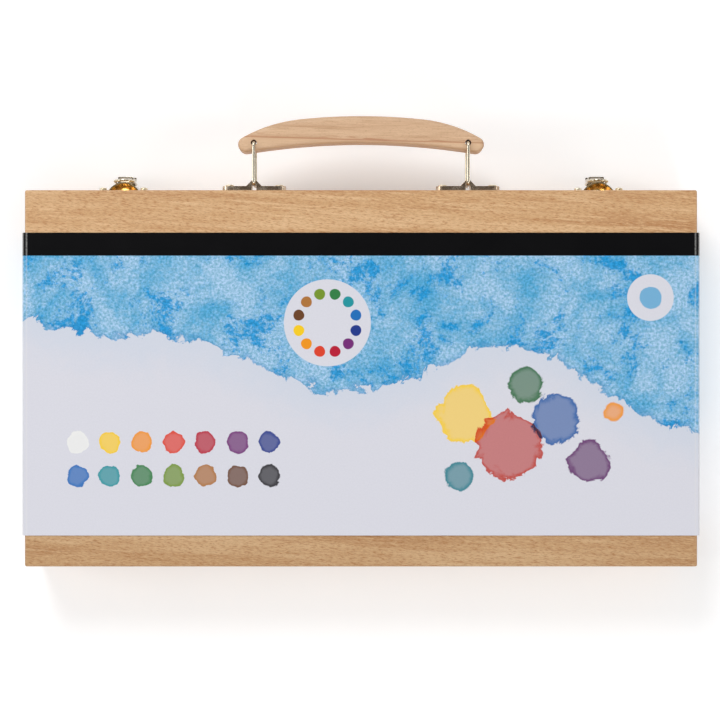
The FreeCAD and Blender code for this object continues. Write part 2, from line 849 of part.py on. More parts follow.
barrel_length = marker_length - 2 * marker_cap_length
barrels = []
for y, colour in zip(marker_places, ("yellow", "clear", "blue")):
    start = vec(marker_middle - barrel_length / 2, y, marker_z)
    barrels.append(Part.makeCylinder(marker_radius, barrel_length, start, X))
    save(f"marker_caps_{colour}", marker_caps(y))
save("marker_barrels", barrels)


def palette():
    """A flower of round wells about a middle one."""
    middle = vec(palette_x, palette_y, palette_bottom)
    places = [middle]
    for i in range(palette_wells):
        angle = 2 * pi * i / palette_wells
        places.append(middle + vec(cos(angle), sin(angle), 0) * palette_reach)
    outer = palette_well_radius + palette_rim
    body = Part.makeCylinder(outer, palette_height, places[0])
    body = body.multiFuse([Part.makeCylinder(outer, palette_height, p) for p in places[1:]])
    for place in places:
        floor = place + Z * (palette_height - palette_well_depth)
        body = body.cut(Part.makeCylinder(palette_well_radius, palette_well_depth, floor))
    return body.removeSplitter()


save("mixing_palette", [palette()])

# Where the brushes and paper lie in the lid
lid_contents = lid_deck + contents_into_lid
brush_z = lid_contents + brush_radius
brush_start = inner_front + brushes_from_front
brush_places = [brushes_from_end - inner_end + i * brush_pitch for i in range(brush_count)]
fine_brush_x = brush_places[-1] + fine_brush_beside_brushes
fine_z = lid_contents + fine_handle_radius
paper_x = (fine_brush_x + paper_beside_fine_brush, inner_end - paper_from_end)
paper_y = (inner_front + paper_from_front, inner_back - paper_from_front)
leaflet_low = lid_contents + sheet_count * sheet_thickness
lid_wells = []
brush_lengthwise = well_room(brush_start + brush_length / 2, brush_length)
for x in brush_places:
    lid_wells.append((well_room(x, 2 * brush_radius), brush_lengthwise, brush_z + brush_radius))
fine_across = well_room(fine_brush_x, 2 * fine_handle_radius)
lid_wells.append((fine_across, brush_lengthwise, fine_z + fine_handle_radius))
paper_room = [(low - paper_well_gap, high + paper_well_gap) for low, high in (paper_x, paper_y)]
lid_wells.append((*paper_room, leaflet_low + sheet_thickness))
save("lid_insert", [insert(lid_deck, lid_rim, lid_floor, lid_wells)])


def water_brush(x):
    """Barrel, ferrule, bristles and clear cap, cap towards the front."""
    at = vec(x, brush_start, brush_z)
    neck = brush_cap_length - brush_neck_length
    barrel_outline = [
        (0, neck), (brush_neck_radius, neck), (brush_neck_radius, brush_cap_length),
        (brush_radius, brush_cap_length), (brush_radius, brush_length - brush_end_chamfer),
        (brush_radius - brush_end_chamfer, brush_length), (0, brush_length),
    ]
    ferrule_front = neck - ferrule_length
    ferrule_outline = [
        (0, ferrule_front), (bristle_radius, ferrule_front),
        (ferrule_radius, ferrule_front + ferrule_taper), (ferrule_radius, neck), (0, neck),
    ]
    tip = ferrule_front - bristle_length
    bristle_outline = [
        (0, tip), (bristle_radius, tip + bristle_point), (bristle_radius, ferrule_front), (0, ferrule_front),
    ]
    inside = brush_neck_radius + brush_cap_gap
    outside = inside + brush_cap_wall
    open_end = brush_cap_length - brush_cap_gap
    cap_outline = [
        (0, 0), (outside - brush_end_chamfer, 0), (outside, brush_end_chamfer), (outside, open_end),
        (inside, open_end), (inside, brush_cap_end), (0, brush_cap_end),
    ]
    outlines = (barrel_outline, ferrule_outline, bristle_outline, cap_outline)
    return [revolved(outline, at, Y, X) for outline in outlines]


brushes = [water_brush(x) for x in brush_places]
for i, name in enumerate(("barrels", "ferrules", "bristles", "caps")):
    save(f"water_brush_{name}", [brush[i] for brush in brushes])


def fine_brush():
    """Wooden handle that swells behind the ferrule, ferrule and bristles."""
    at = vec(fine_brush_x, brush_start, fine_z)
    ferrule_front = fine_bristle_length
    ferrule_back = ferrule_front + fine_ferrule_length
    handle = [
        (0, ferrule_back), (fine_ferrule_radius, ferrule_back),
        (fine_handle_radius, ferrule_back + fine_swell_start),
        (fine_handle_radius, ferrule_back + fine_swell_end),
        (fine_ferrule_radius, brush_length - fine_tail_length),
        (fine_ferrule_radius / 2, brush_length - fine_tail_round), (0, brush_length),
    ]
    ferrule = [
        (0, ferrule_front), (fine_bristle_radius, ferrule_front),
        (fine_ferrule_radius, ferrule_back), (0, ferrule_back),
    ]
    bristles = [
        (0, 0), (fine_bristle_radius, fine_bristle_point),
        (fine_bristle_radius, ferrule_front), (0, ferrule_front),
    ]
    return [revolved(outline, at, Y, X) for outline in (handle, ferrule, bristles)]


for name, solid in zip(("handle", "ferrule", "bristles"), fine_brush()):
    save(f"fine_brush_{name}", [solid])


def sheet(level, end_margin, side_margin):
    """A sheet at some place in the stack, smaller than the paper's room by a margin on each side."""
    low = lid_contents + level * sheet_thickness
    across = (paper_x[0] + end_margin, paper_x[1] - end_margin)
    along = (paper_y[0] + side_margin, paper_y[1] - side_margin)
    return box(across, along, (low, low + sheet_thickness))


save("paper_sheets", [sheet(i, 0, 0) for i in range(sheet_count)])
save("leaflet", [sheet(sheet_count, leaflet_end_margin, leaflet_side_margin)])

print("hinge axis", hinge_y, parting)
print("handle pivots", bail_spacing / 2, front - bail_axis_height, front - bail_hole_height, lid_middle)
print("latch pin", latch_place, pin_y, pin_z)
print("loop anchor", anchor_y, anchor_z)
print("rest face", sleeve_y, "top", sleeve_top)
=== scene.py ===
import json
import math
import random

import bmesh
import bpy
from mathutils import Matrix, Vector


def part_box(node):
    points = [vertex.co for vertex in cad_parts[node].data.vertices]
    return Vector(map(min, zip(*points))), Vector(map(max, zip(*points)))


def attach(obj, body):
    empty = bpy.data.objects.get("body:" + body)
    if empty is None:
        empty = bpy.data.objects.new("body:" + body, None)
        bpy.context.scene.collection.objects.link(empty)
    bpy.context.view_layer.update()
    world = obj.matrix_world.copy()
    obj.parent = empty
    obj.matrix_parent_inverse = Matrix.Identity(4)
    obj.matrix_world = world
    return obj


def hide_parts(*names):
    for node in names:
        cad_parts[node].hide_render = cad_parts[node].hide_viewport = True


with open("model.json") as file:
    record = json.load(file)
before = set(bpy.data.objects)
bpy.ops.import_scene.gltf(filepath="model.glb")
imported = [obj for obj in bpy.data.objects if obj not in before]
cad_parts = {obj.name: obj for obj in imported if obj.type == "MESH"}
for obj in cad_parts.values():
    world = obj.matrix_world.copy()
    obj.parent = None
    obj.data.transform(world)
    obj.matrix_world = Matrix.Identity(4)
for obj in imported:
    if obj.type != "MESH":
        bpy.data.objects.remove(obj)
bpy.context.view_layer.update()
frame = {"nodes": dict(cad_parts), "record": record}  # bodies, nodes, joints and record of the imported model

mm = 0.001
fullTurn = 2 * math.pi
white = (1, 1, 1, 1)
packedGap = 0.001 * mm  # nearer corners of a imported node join
drawnGap = 0.002 * mm  # and of a drawn or softened piece
edgeAngle = 35.0  # degrees: a sharper bend is an edge
flatAngle = 0.4  # degrees: a smaller bend is flat


# Shader helpers

def srgb(red, green, blue):
    def linear(value):
        value /= 255
        return value / 12.92 if value <= 0.04045 else ((value + 0.055) / 1.055) ** 2.4
    return (linear(red), linear(green), linear(blue), 1.0)


def dimmed(colour, share):
    return tuple(share * value for value in colour[:3]) + (1.0,)


def addNode(tree, kind, inputs=None, **settings):
    made = tree.nodes.new("ShaderNode" + kind)
    for name, value in settings.items():
        setattr(made, name, value)
    for name, value in (inputs or {}).items():
        if isinstance(value, bpy.types.NodeSocket):
            tree.links.new(value, made.inputs[name])
        else:
            made.inputs[name].default_value = value
    return made


def feedNode(kind, inputs, **settings):  # a node in the tree of the sockets that feed it
    tree = next(value.id_data for value in inputs.values() if isinstance(value, bpy.types.NodeSocket))
    return addNode(tree, kind, inputs, **settings)


def calc(operation, first, second=0.0):
    return feedNode("Math", {0: first, 1: second}, operation=operation).outputs[0]


def times(first, second):
    return calc("MULTIPLY", first, second)


def plus(first, second):
    return calc("ADD", first, second)


def minus(first, second):
    return calc("SUBTRACT", first, second)


def over(first, second):
    return calc("DIVIDE", first, second)


def absolute(value):
    return calc("ABSOLUTE", value)


def apart(value, place):
    return absolute(minus(value, place))


def centred(value, reach):  # a value from 0 to 1 becomes a move of half the reach to either side
    return times(minus(value, 0.5), reach)


def blended(first, second, share):
    return plus(times(first, share), times(second, 1 - share))


def remap(value, low, high, newLow, newHigh):
    return feedNode("MapRange", {0: value, 1: low, 2: high, 3: newLow, 4: newHigh}).outputs[0]


def between(value, low, high):  # 0 at low, 1 at high
    return feedNode("MapRange", {0: value, 1: low, 2: high}, interpolation_type="SMOOTHSTEP").outputs[0]


def within(value, low, high, soft=0.1 * mm):  # 1 from low to high
    return times(between(value, low, low + soft), between(value, high + soft, high))


def filled(distance, radius, soft):  # 1 inside the radius
    return between(distance, radius, radius - soft)


def axesOf(point):
    return feedNode("SeparateXYZ", {0: point}).outputs


def flatPoint(across, up):
    return feedNode("CombineXYZ", {0: across, 1: up}).outputs[0]


def lengthOf(point):
    return feedNode("VectorMath", {0: point}, operation="LENGTH").outputs["Value"]


def rgb(red, green, blue):
    return feedNode("CombineColor", {0: red, 1: green, 2: blue}).outputs[0]


def mixColour(amount, under, above, blend="MIX"):
    inputs = {0: amount, 6: under, 7: above}
    return feedNode("Mix", inputs, data_type="RGBA", blend_type=blend).outputs[2]


def stain(colour, mask, strength, paint):
    return mixColour(times(mask, strength), colour, paint)


def ramp(value, stops, interpolation="LINEAR"):
    made = feedNode("ValToRGB", {0: value})
    made.color_ramp.interpolation = interpolation
    elements = made.color_ramp.elements
    while len(elements) < len(stops):
        elements.new(0.5)
    for element, (place, colour) in zip(elements, stops):
        element.position = place
        element.color = colour
    return made.outputs[0]


def swatches(value, paints):  # equal steps of flat colour from 0 to 1
    stops = [(number / len(paints), paint) for number, paint in enumerate(paints)]
    return ramp(value, stops, "CONSTANT")


def noise(place, size, detail=2.0, roughness=0.5, distortion=0.0):  # size: of one ripple
    inputs = {"Vector": place, "Scale": 1 / size, "Detail": detail}
    inputs |= {"Roughness": roughness, "Distortion": distortion}
    return feedNode("TexNoise", inputs).outputs[0]


def mapped(place, scale=(1, 1, 1), turn=(0, 0, 0), shift=(0, 0, 0)):
    inputs = {"Vector": place, "Location": shift, "Rotation": turn, "Scale": scale}
    return feedNode("Mapping", inputs).outputs[0]


def bump(height, distance, strength, under=None):
    inputs = {"Height": height, "Distance": distance, "Strength": strength}
    if under:
        inputs["Normal"] = under
    return feedNode("Bump", inputs).outputs[0]


def newMaterial(name, **constants):  # the material, its shader and a place on the object
    material = bpy.data.materials.new(name)
    material.use_nodes = True
    tree = material.node_tree
    tree.nodes.clear()
    shader = addNode(tree, "BsdfPrincipled")
    feedNode("OutputMaterial", {0: shader.outputs[0]})
    for socket, value in constants.items():
        shader.inputs[socket.replace("_", " ")].default_value = value
    return material, shader, addNode(tree, "TexCoord").outputs["Object"]


def dress(shader, colour, rough=None, relief=None):  # links a material's look to its shader
    for name, value in (("Base Color", colour), ("Roughness", rough), ("Normal", relief)):
        if value:
            shader.id_data.links.new(value, shader.inputs[name])


# Mesh helpers

def addObject(name, data):
    made = bpy.data.objects.new(name, data)
    bpy.context.scene.collection.objects.link(made)
    return made


def addMesh(name, shape):
    mesh = bpy.data.meshes.new(name)
    shape.to_mesh(mesh)
    shape.free()
    return addObject(name, mesh)


def bodyOf(node):
    for body, members in frame["record"]["behaviour"]["bodies"].items():
        if node in members:
            return body


def camelName(node):
    first, *others = node.split("_")
    return first + "".join(word.capitalize() for word in others)


def addPiece(node, shape, materials, smoothAngle=edgeAngle, name=None):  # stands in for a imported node
    piece = addMesh(name or camelName(node), shape)
    for polygon in piece.data.polygons:
        polygon.use_smooth = True
    piece.data.set_sharp_from_angle(angle=math.radians(smoothAngle))
    for material in materials:
        piece.data.materials.append(material)
    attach(piece, bodyOf(node))
    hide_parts(node)
    return piece


def softenEdges(piece, width, segments):
    modifier = piece.modifiers.new("softEdges", "BEVEL")
    modifier.width = width
    modifier.segments = segments
    modifier.limit_method = "ANGLE"
    modifier.angle_limit = math.radians(edgeAngle)
    modifier.harden_normals = True
    closing = piece.modifiers.new("closeSlivers", "WELD")
    closing.merge_threshold = drawnGap


def mergedCopy(node):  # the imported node's own shape, with its loose triangles joined
    shape = bmesh.new()
    shape.from_mesh(frame["nodes"][node].data)
    bmesh.ops.remove_doubles(shape, verts=shape.verts, dist=packedGap)
    for face in shape.faces:
        face.material_index = 0
    return shape


def refine(node, material, edge, segments=2):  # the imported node's shape with softened edges
    shape = mergedCopy(node)
    limit = math.radians(flatAngle)
    bmesh.ops.dissolve_limit(shape, angle_limit=limit, verts=shape.verts, edges=shape.edges)
    softenEdges(addPiece(node, shape, [material]), edge, segments)


def finishNode(node, material):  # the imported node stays, with a better material
    mesh = frame["nodes"][node].data
    for index in range(len(mesh.materials)):
        frame["nodes"][node].material_slots[index].link = "DATA"
        mesh.materials[index] = material


# Studio: a pale floor, soft lamps and a camera straight above the lid

studio = {
    "cameraPlace": (0.6 * mm, -10.9 * mm, 1255.1 * mm), "lens": 100.9, "clipStart": 10 * mm,
    "floorSize": 6.0, "floorColour": (0.86, 0.86, 0.865, 1.0), "mottle": 0.985, "mottleSize": 1 / 30,
    "floorLift": 0.28,  # what the camera sees on top of the lit floor
    "fadeStart": 0.45, "fadeEnd": 1.3,  # where the floor melts into the white background
    "airLight": 0.36,
    # metal mirrors a dark room above a bright horizon, with a long strip light at each side
    "room": ((0.08, white), (0.40, (0.14, 0.14, 0.15, 1)), (1.0, (0.08, 0.08, 0.085, 1))),
    "stripColour": (0.95, 0.94, 0.92, 1),
    "strip": (0.20, 0.26, 0.36, 0.44),  # start, full, fading and end
    "lamps": {  # place, width, power
        "keyLamp": ((0.55, -1.45, 1.75), 0.9, 20.0),
        "leftLamp": ((1.9, -0.1, 1.3), 1.1, 11.0),
        "rightLamp": ((-1.9, 0.2, 1.3), 1.1, 9.5),
        "backLamp": ((-0.3, 1.7, 1.5), 1.1, 12.5),
    },
}


def addCamera(look):
    scene = bpy.context.scene
    scene.view_settings.view_transform = "Standard"
    lens = bpy.data.cameras.new("camera")
    lens.lens = look["lens"]
    lens.clip_start = look["clipStart"]
    camera = addObject("camera", lens)
    camera.location = look["cameraPlace"]
    camera.rotation_euler = (0, 0, math.pi)  # the handle side is at the top of the view
    scene.camera = camera


def addLamps(look):
    for name, (place, width, power) in look["lamps"].items():
        light = bpy.data.lights.new(name, "AREA")
        light.shape = "DISK"
        light.size = width
        light.energy = power
        lamp = addObject(name, light)
        lamp.location = place
        lamp.rotation_euler = Vector(place).to_track_quat("Z", "Y").to_euler()


def addAir(look):
    world = bpy.data.worlds.new("studioAir")
    bpy.context.scene.world = world
    world.use_nodes = True
    tree = world.node_tree
    tree.nodes.clear()
    ray = addNode(tree, "LightPath").outputs
    seen = calc("MAXIMUM", ray["Is Camera Ray"], ray["Is Transmission Ray"])
    heading = axesOf(addNode(tree, "TexCoord").outputs["Generated"])
    sideways = absolute(heading[0])
    start, full, fading, end = look["strip"]
    strip = times(between(sideways, start, full), between(sideways, end, fading))
    strip = times(strip, calc("GREATER_THAN", heading[2], 0.0))
    room = mixColour(strip, ramp(heading[2], look["room"]), look["stripColour"])
    colour = mixColour(ray["Is Glossy Ray"], dimmed(white, look["airLight"]), room)
    colour = mixColour(seen, colour, white)
    background = feedNode("Background", {"Color": colour})
    feedNode("OutputWorld", {0: background.outputs[0]})


def addFloor(look):
    shape = bmesh.new()
    bmesh.ops.create_grid(shape, x_segments=1, y_segments=1, size=look["floorSize"] / 2)
    floor = addMesh("floor", shape)
    material, shader, place = newMaterial("paleFloor", Roughness=0.9)
    tree = material.node_tree
    colour = look["floorColour"]
    darker = dimmed(colour, look["mottle"])
    mottle = ramp(noise(place, look["mottleSize"], 3.0), ((0.3, colour), (0.7, darker)))
    dress(shader, mottle)
    ray = addNode(tree, "LightPath").outputs
    mirrored = calc("MAXIMUM", ray["Is Glossy Ray"], ray["Is Transmission Ray"])
    seen = calc("MAXIMUM", ray["Is Camera Ray"], mirrored)
    lift = feedNode("Emission", {"Color": white, "Strength": times(seen, look["floorLift"])})
    lit = feedNode("AddShader", {0: shader.outputs[0], 1: lift.outputs[0]})
    away = between(lengthOf(place), look["fadeStart"], look["fadeEnd"])
    glow = addNode(tree, "Emission", {"Color": white})
    whole = feedNode("MixShader", {0: times(away, seen), 1: lit.outputs[0], 2: glow.outputs[0]})
    output = tree.get_output_node("ALL")
    tree.links.new(whole.outputs[0], output.inputs[0])
    floor.data.materials.append(material)


for addPart in (addCamera, addLamps, addAir, addFloor):
    addPart(studio)
print("studio")


# Beech: growth bands, streaks, ray flecks and pores that run with the fibres

beech = {
    "pale": srgb(228, 190, 145), "middle": srgb(209, 165, 118), "warm": srgb(190, 140, 94),
    "fleckDark": srgb(176, 116, 62), "poreDark": srgb(134, 86, 46), "endGrain": srgb(160, 118, 80),
    # length, width and slope in degrees of each mark
    "bands": (150 * mm, 8 * mm, 2.0), "streaks": (95 * mm, 1.6 * mm, 4.0),
    "flecks": (3.2 * mm, 0.55 * mm, 7.0), "pores": (1.8 * mm, 0.16 * mm, 2.8),
    "paleStreaks": 0.70, "warmStreaks": 0.40, "darkFlecks": 0.72, "glints": 0.62, "darkPores": 0.55,
    "darkEnds": 0.6,  # cut ends soak up more lacquer
    "relief": 0.05 * mm,
    "fallStart": -20 * mm, "fallEnd": 112 * mm,  # where the lid's panel grows darker towards the back
}


def fibres(log, marks, *settings):  # noise drawn out along the log
    length, width, slope = marks
    leaning = mapped(log, turn=(0, math.radians(slope / 2), math.radians(slope)))
    return noise(mapped(leaning, scale=(1 / length, 1 / width, 1 / width)), 1.0, *settings)


def veined(colour, place, log, wide, look):  # a dark line, dashes beside it, paler wood beyond
    vein = look["vein"]
    spot = axesOf(place)
    line = plus(times(spot[0], vein["slope"]), vein["height"])
    beside = plus(minus(spot[1], line), centred(wide, vein["waver"]))
    colour = stain(colour, between(beside, 0.0, vein["width"]), 0.45, look["pale"])
    dashes = fibres(log, vein["dashes"], 1.0)
    near = absolute(plus(beside, vein["reach"] / 2))
    near = between(near, vein["reach"], vein["reach"] / 3)
    dashed = times(near, between(dashes, 0.56, 0.70))
    colour = stain(colour, dashed, 0.8, vein["colour"])
    thin = between(absolute(beside), vein["width"], 0.0)
    return stain(colour, thin, 0.9, vein["colour"])


def beechMaterial(name, along, seed, look=beech, shade=1.0, towardsBack=0.0):
    material, shader, place = newMaterial(name, Roughness=0.5, IOR=1.48)
    axis = "XY".index(along)
    turn = (0, 0, math.radians(-90 * axis))
    log = mapped(place, turn=turn, shift=(seed * 1.37, seed * 0.61, seed * 0.23))
    length, width, slope = look["bands"]
    bands = fibres(log, look["bands"], 3.0, 0.55, 0.5)
    wide = fibres(log, (length * 2.2, width * 4, slope), 1.0)
    streaks = fibres(log, look["streaks"], 1.0, 0.5, 0.2)
    flecks = fibres(log, look["flecks"], 2.0, 0.6)
    pores = fibres(log, look["pores"], 1.0)
    figure = blended(bands, wide, 0.68)
    colour = ramp(figure, ((0.30, look["warm"]), (0.47, look["middle"]), (0.68, look["pale"])))
    for mark, low, high, strength, paint in (
        (streaks, 0.57, 0.70, "paleStreaks", "pale"), (streaks, 0.40, 0.27, "warmStreaks", "warm"),
        (flecks, 0.50, 0.70, "darkFlecks", "fleckDark"), (flecks, 0.47, 0.30, "glints", "pale"),
        (pores, 0.58, 0.74, "darkPores", "poreDark"),
    ):
        colour = stain(colour, between(mark, low, high), look[strength], look[paint])
    if "vein" in look:
        colour = veined(colour, place, log, wide, look)
    facing = axesOf(place.node.outputs["Normal"])[axis]
    cutEnd = between(absolute(facing), 0.6, 0.9)
    colour = stain(colour, cutEnd, look["darkEnds"], look["endGrain"])
    fall = remap(axesOf(place)[1], look["fallStart"], look["fallEnd"], 0.0, towardsBack)
    lit = times(minus(1.0, fall), shade)
    colour = mixColour(1.0, colour, rgb(lit, lit, lit), "MULTIPLY")
    relief = bump(flecks, look["relief"], 0.5)
    relief = bump(pores, look["relief"], 0.6, relief)
    dress(shader, colour, remap(flecks, 0.3, 0.7, 0.42, 0.56), relief)
    return material


frameEdge = 0.25 * mm
grain = {  # way of the fibres, place in the log, shade, and how much darker towards the back
    "lid_panel": ("X", 3.0, 1.0, 0.16), "base_panel": ("X", 11.0, 0.97, 0.0),
    "lid_front_rail": ("X", 5.0, 1.0, 0.0), "lid_back_rail": ("X", 7.0, 0.97, 0.0),
    "lid_left_rail": ("Y", 2.0, 1.02, 0.0), "lid_right_rail": ("Y", 4.0, 0.98, 0.0),
    "base_front_rail": ("X", 13.0, 0.98, 0.0), "base_back_rail": ("X", 15.0, 1.0, 0.0),
    "base_left_rail": ("Y", 8.0, 0.99, 0.0), "base_right_rail": ("Y", 6.0, 1.02, 0.0),
}
for node, (along, seed, shade, towardsBack) in grain.items():
    refine(node, beechMaterial("beech_" + node, along, seed, beech, shade, towardsBack), frameEdge)
print("wooden frame and panels")


# Card sleeve: black stripe and watercolour wash outside, plain board inside and at the cut edges

sleeve = {
    "halfWidth": 201.4 * mm, "top": 55.9 * mm, "stripe": (72.9 * mm, 86.6 * mm),
    "paper": srgb(220, 220, 229), "ink": srgb(6, 6, 8),
    "board": srgb(206, 204, 200), "core": srgb(232, 231, 228), "speck": srgb(150, 142, 130),
    "boardFibre": 0.9 * mm, "boardDepth": 0.05 * mm, "specks": 0.45 * mm,
    "washPale": srgb(158, 198, 228), "washMiddle": srgb(124, 182, 218), "washDeep": srgb(86, 168, 212),
    "pool": srgb(4, 146, 210), "tideLine": srgb(32, 126, 188),
    # sizes of the card's fibres and of the marks in the wash
    "fibre": 1.1 * mm, "cloud": 34 * mm, "pools": 13 * mm, "grains": 2.4 * mm, "settled": 30 * mm,
    "tooth": 1.6 * mm, "ragged": 26 * mm, "torn": 3 * mm, "buckle": 60 * mm,
    "wetEdge": 1.2 * mm, "tideReach": (5 * mm, 0.5 * mm), "hazeReach": 30 * mm,
    # the last entry is the strength of the painted highlight along the folds
    "pooled": 0.9, "tide": 0.45, "haze": 0.16, "rub": 0.28,
    "toothRed": (0.58, 1.36), "toothOther": (0.77, 1.19),  # the tooth dims and lifts the wash
    # the creases are where the painted fold highlight bands lie
    "creases": ((2.6 * mm, 0.2 * mm), (0.5 * mm, 0.3 * mm)),  # distance in from the fold, width
    "creaseReach": 0.7 * mm, "creaseEnds": (2.2 * mm, 1.4 * mm),
    "fibreDepth": 0.02 * mm, "buckleDepth": 0.5 * mm,
    # height of the wash's lower shore along the sleeve, in metres
    "shoreLength": 0.5, "shoreHeight": 0.1,
    "shore": ((-0.25, 0.040), (-0.20, 0.037), (-0.15, 0.020), (-0.105, 0.027), (-0.06, 0.006),
              (-0.02, -0.012), (0.03, -0.004), (0.075, 0.024), (0.12, 0.012), (0.16, -0.022),
              (0.20, -0.034), (0.25, -0.030)),
    "paints": [srgb(*paint) for paint in (
        (238, 238, 236), (247, 205, 40), (240, 150, 36), (222, 70, 48), (186, 34, 58),
        (118, 48, 120), (38, 60, 140), (38, 112, 186), (40, 150, 160), (54, 128, 72),
        (120, 150, 50), (176, 118, 62), (110, 70, 44), (40, 38, 42),
    )],
    "opaque": (1, 2),  # paints that hide the wash under them
    "blots": (  # middle, radius, paint number
        (62 * mm, -22 * mm, 17 * mm, 1), (88 * mm, -40 * mm, 20 * mm, 3), (116 * mm, -24 * mm, 15 * mm, 7),
        (98 * mm, -4 * mm, 11 * mm, 9), (136 * mm, -50 * mm, 13 * mm, 5), (58 * mm, -58 * mm, 9 * mm, 8),
        (150 * mm, -20 * mm, 6 * mm, 2),
    ),
    "blotEdge": 1 * mm, "blotRim": 4 * mm, "blotSpread": 0.9,
    "dabs": {"columns": 7, "left": -178 * mm, "pitch": 19 * mm, "rows": (-38 * mm, -58 * mm),
             "radius": 6.6 * mm, "edge": 0.5 * mm, "rim": 2.5 * mm, "wobble": 5 * mm, "waves": 6 * mm},
    "wheel": {"middle": (-20 * mm, 33 * mm), "disc": 26 * mm, "ring": 17.5 * mm, "dot": 3.4 * mm, "dots": 12},
    "smallDisc": {"middle": (172 * mm, 48 * mm), "disc": 14 * mm, "drop": 7 * mm, "edge": 0.6 * mm,
                  "wobble": 3 * mm},
    "discEdge": 0.3 * mm,
}


def cardFace(place, look, lidHalf):  # the flat card's own places and textures
    axes = axesOf(place)
    # distance along the card from its middle, over the fold and down the end
    reach = absolute(axes[0])
    if not lidHalf:
        reach = minus(2 * look["halfWidth"], reach)
    along = minus(plus(reach, look["top"]), axes[2])
    across = times(along, times(calc("SIGN", axes[0]), -1.0))
    up = times(axes[1], -1.0)
    flat = flatPoint(across, up)
    fibre = noise(flat, look["fibre"], 3.0, 0.7)
    cloud = noise(flat, look["cloud"], 6.0, 0.62, 0.4)
    pools = noise(mapped(flat, shift=(0.4, 0.9, 0)), look["pools"], 5.0, 0.6, 0.8)
    shade = remap(fibre, 0.3, 0.7, 0.0, 1.0)
    paper = mixColour(shade, look["paper"], dimmed(look["paper"], 0.96))
    return {"axes": axes, "across": across, "up": up, "flat": flat,
            "fibre": fibre, "cloud": cloud, "pools": pools, "paper": paper}


def awayFrom(card, middle):
    inputs = {0: card["flat"], 1: (*middle, 0)}
    return feedNode("VectorMath", inputs, operation="DISTANCE").outputs["Value"]


def washed(card, look):  # pale and pooled colour down to a ragged shore with a darker tide line
    flat = card["flat"]
    place = plus(times(card["across"], 1 / look["shoreLength"]), 0.5)
    stops = [(along / look["shoreLength"] + 0.5, dimmed(white, height / look["shoreHeight"] + 0.5))
             for along, height in look["shore"]]
    shore = centred(ramp(place, stops, "B_SPLINE"), look["shoreHeight"])
    ragged = centred(card["pools"], look["ragged"])
    torn = centred(card["fibre"], look["torn"])
    depth = plus(minus(card["up"], shore), plus(ragged, torn))
    grains = noise(flat, look["grains"], 5.0, 0.78)
    mixed = plus(times(card["cloud"], 0.55), times(card["pools"], 0.15))
    mixed = plus(mixed, times(grains, 0.30))
    wash = ramp(mixed, ((0.41, look["washDeep"]), (0.48, look["washMiddle"]), (0.55, look["washPale"])))
    settled = noise(mapped(flat, shift=(0.7, 0.2, 0)), look["settled"], 8.0, 0.72, 0.3)
    settled = plus(settled, centred(grains, 0.45))
    wash = stain(wash, between(settled, 0.52, 0.61), look["pooled"], look["pool"])
    tooth = noise(mapped(flat, shift=(0.1, 0.6, 0)), look["tooth"], 2.0, 0.7)
    red, other = [remap(tooth, 0.36, 0.64, *look[name]) for name in ("toothRed", "toothOther")]
    wash = mixColour(1.0, wash, rgb(red, other, other), "MULTIPLY")
    wash = stain(wash, between(depth, *look["tideReach"]), look["tide"], look["tideLine"])
    hazed = between(depth, -look["hazeReach"], 0.0)
    colour = stain(card["paper"], hazed, look["haze"], look["washPale"])
    return mixColour(between(depth, 0.0, look["wetEdge"]), colour, wash)


def blotted(colour, card, look):  # soft overlapping blots of paint
    for x, y, radius, number in look["blots"]:
        spread = centred(card["pools"], radius * look["blotSpread"])
        distance = plus(awayFrom(card, (x, y)), spread)
        inside = filled(distance, radius, look["blotEdge"])
        rim = times(between(distance, radius - look["blotRim"], radius), 0.24)
        density = times(inside, plus(rim, 0.74))
        blend = "MIX" if number in look["opaque"] else "MULTIPLY"
        colour = mixColour(density, colour, look["paints"][number], blend)
    return colour


def dabbed(colour, card, look):  # two rows of paint dabs
    dabs = look["dabs"]
    radius, count = dabs["radius"], dabs["columns"]
    column = over(minus(card["across"], dabs["left"]), dabs["pitch"])
    number = calc("FLOOR", column)
    last = calc("LESS_THAN", number, count - 0.5)
    inColumn = times(calc("GREATER_THAN", number, -0.5), last)
    sideways = centred(calc("FRACT", column), dabs["pitch"])
    wobble = centred(noise(card["flat"], dabs["waves"], 3.0), dabs["wobble"])
    which = over(plus(number, 0.5), count)
    for row, level in enumerate(dabs["rows"]):
        spot = flatPoint(sideways, minus(card["up"], level))
        distance = plus(lengthOf(spot), wobble)
        inside = times(filled(distance, radius, dabs["edge"]), inColumn)
        rim = times(between(distance, radius - dabs["rim"], radius), 0.14)
        density = times(inside, plus(rim, 0.84))
        paint = swatches(which, look["paints"][row * count:(row + 1) * count])
        colour = mixColour(density, colour, paint)
    return colour


def wheeled(colour, card, look):  # a white disc with a ring of colour dots
    wheel = look["wheel"]
    dots, ring = wheel["dots"], wheel["ring"]
    away = awayFrom(card, wheel["middle"])
    colour = mixColour(filled(away, wheel["disc"], look["discEdge"]), colour, card["paper"])
    inputs = {0: card["flat"], 1: (*wheel["middle"], 0)}
    axes = axesOf(feedNode("VectorMath", inputs, operation="SUBTRACT").outputs[0])
    turn = over(calc("ARCTAN2", axes[1], axes[0]), fullTurn)
    turn = times(plus(turn, 0.5), dots)
    tangent = centred(calc("FRACT", turn), fullTurn * ring / dots)
    distance = lengthOf(flatPoint(tangent, minus(away, ring)))
    which = over(plus(calc("FLOOR", turn), 0.5), dots)
    paint = swatches(which, look["paints"][1:1 + dots])
    return mixColour(filled(distance, wheel["dot"], look["discEdge"]), colour, paint)


def dropped(colour, card, look):  # a small white disc with one drop
    small = look["smallDisc"]
    away = awayFrom(card, small["middle"])
    colour = mixColour(filled(away, small["disc"], look["discEdge"]), colour, card["paper"])
    distance = plus(away, centred(card["pools"], small["wobble"]))
    return stain(colour, filled(distance, small["drop"], small["edge"]), 0.85, look["washDeep"])


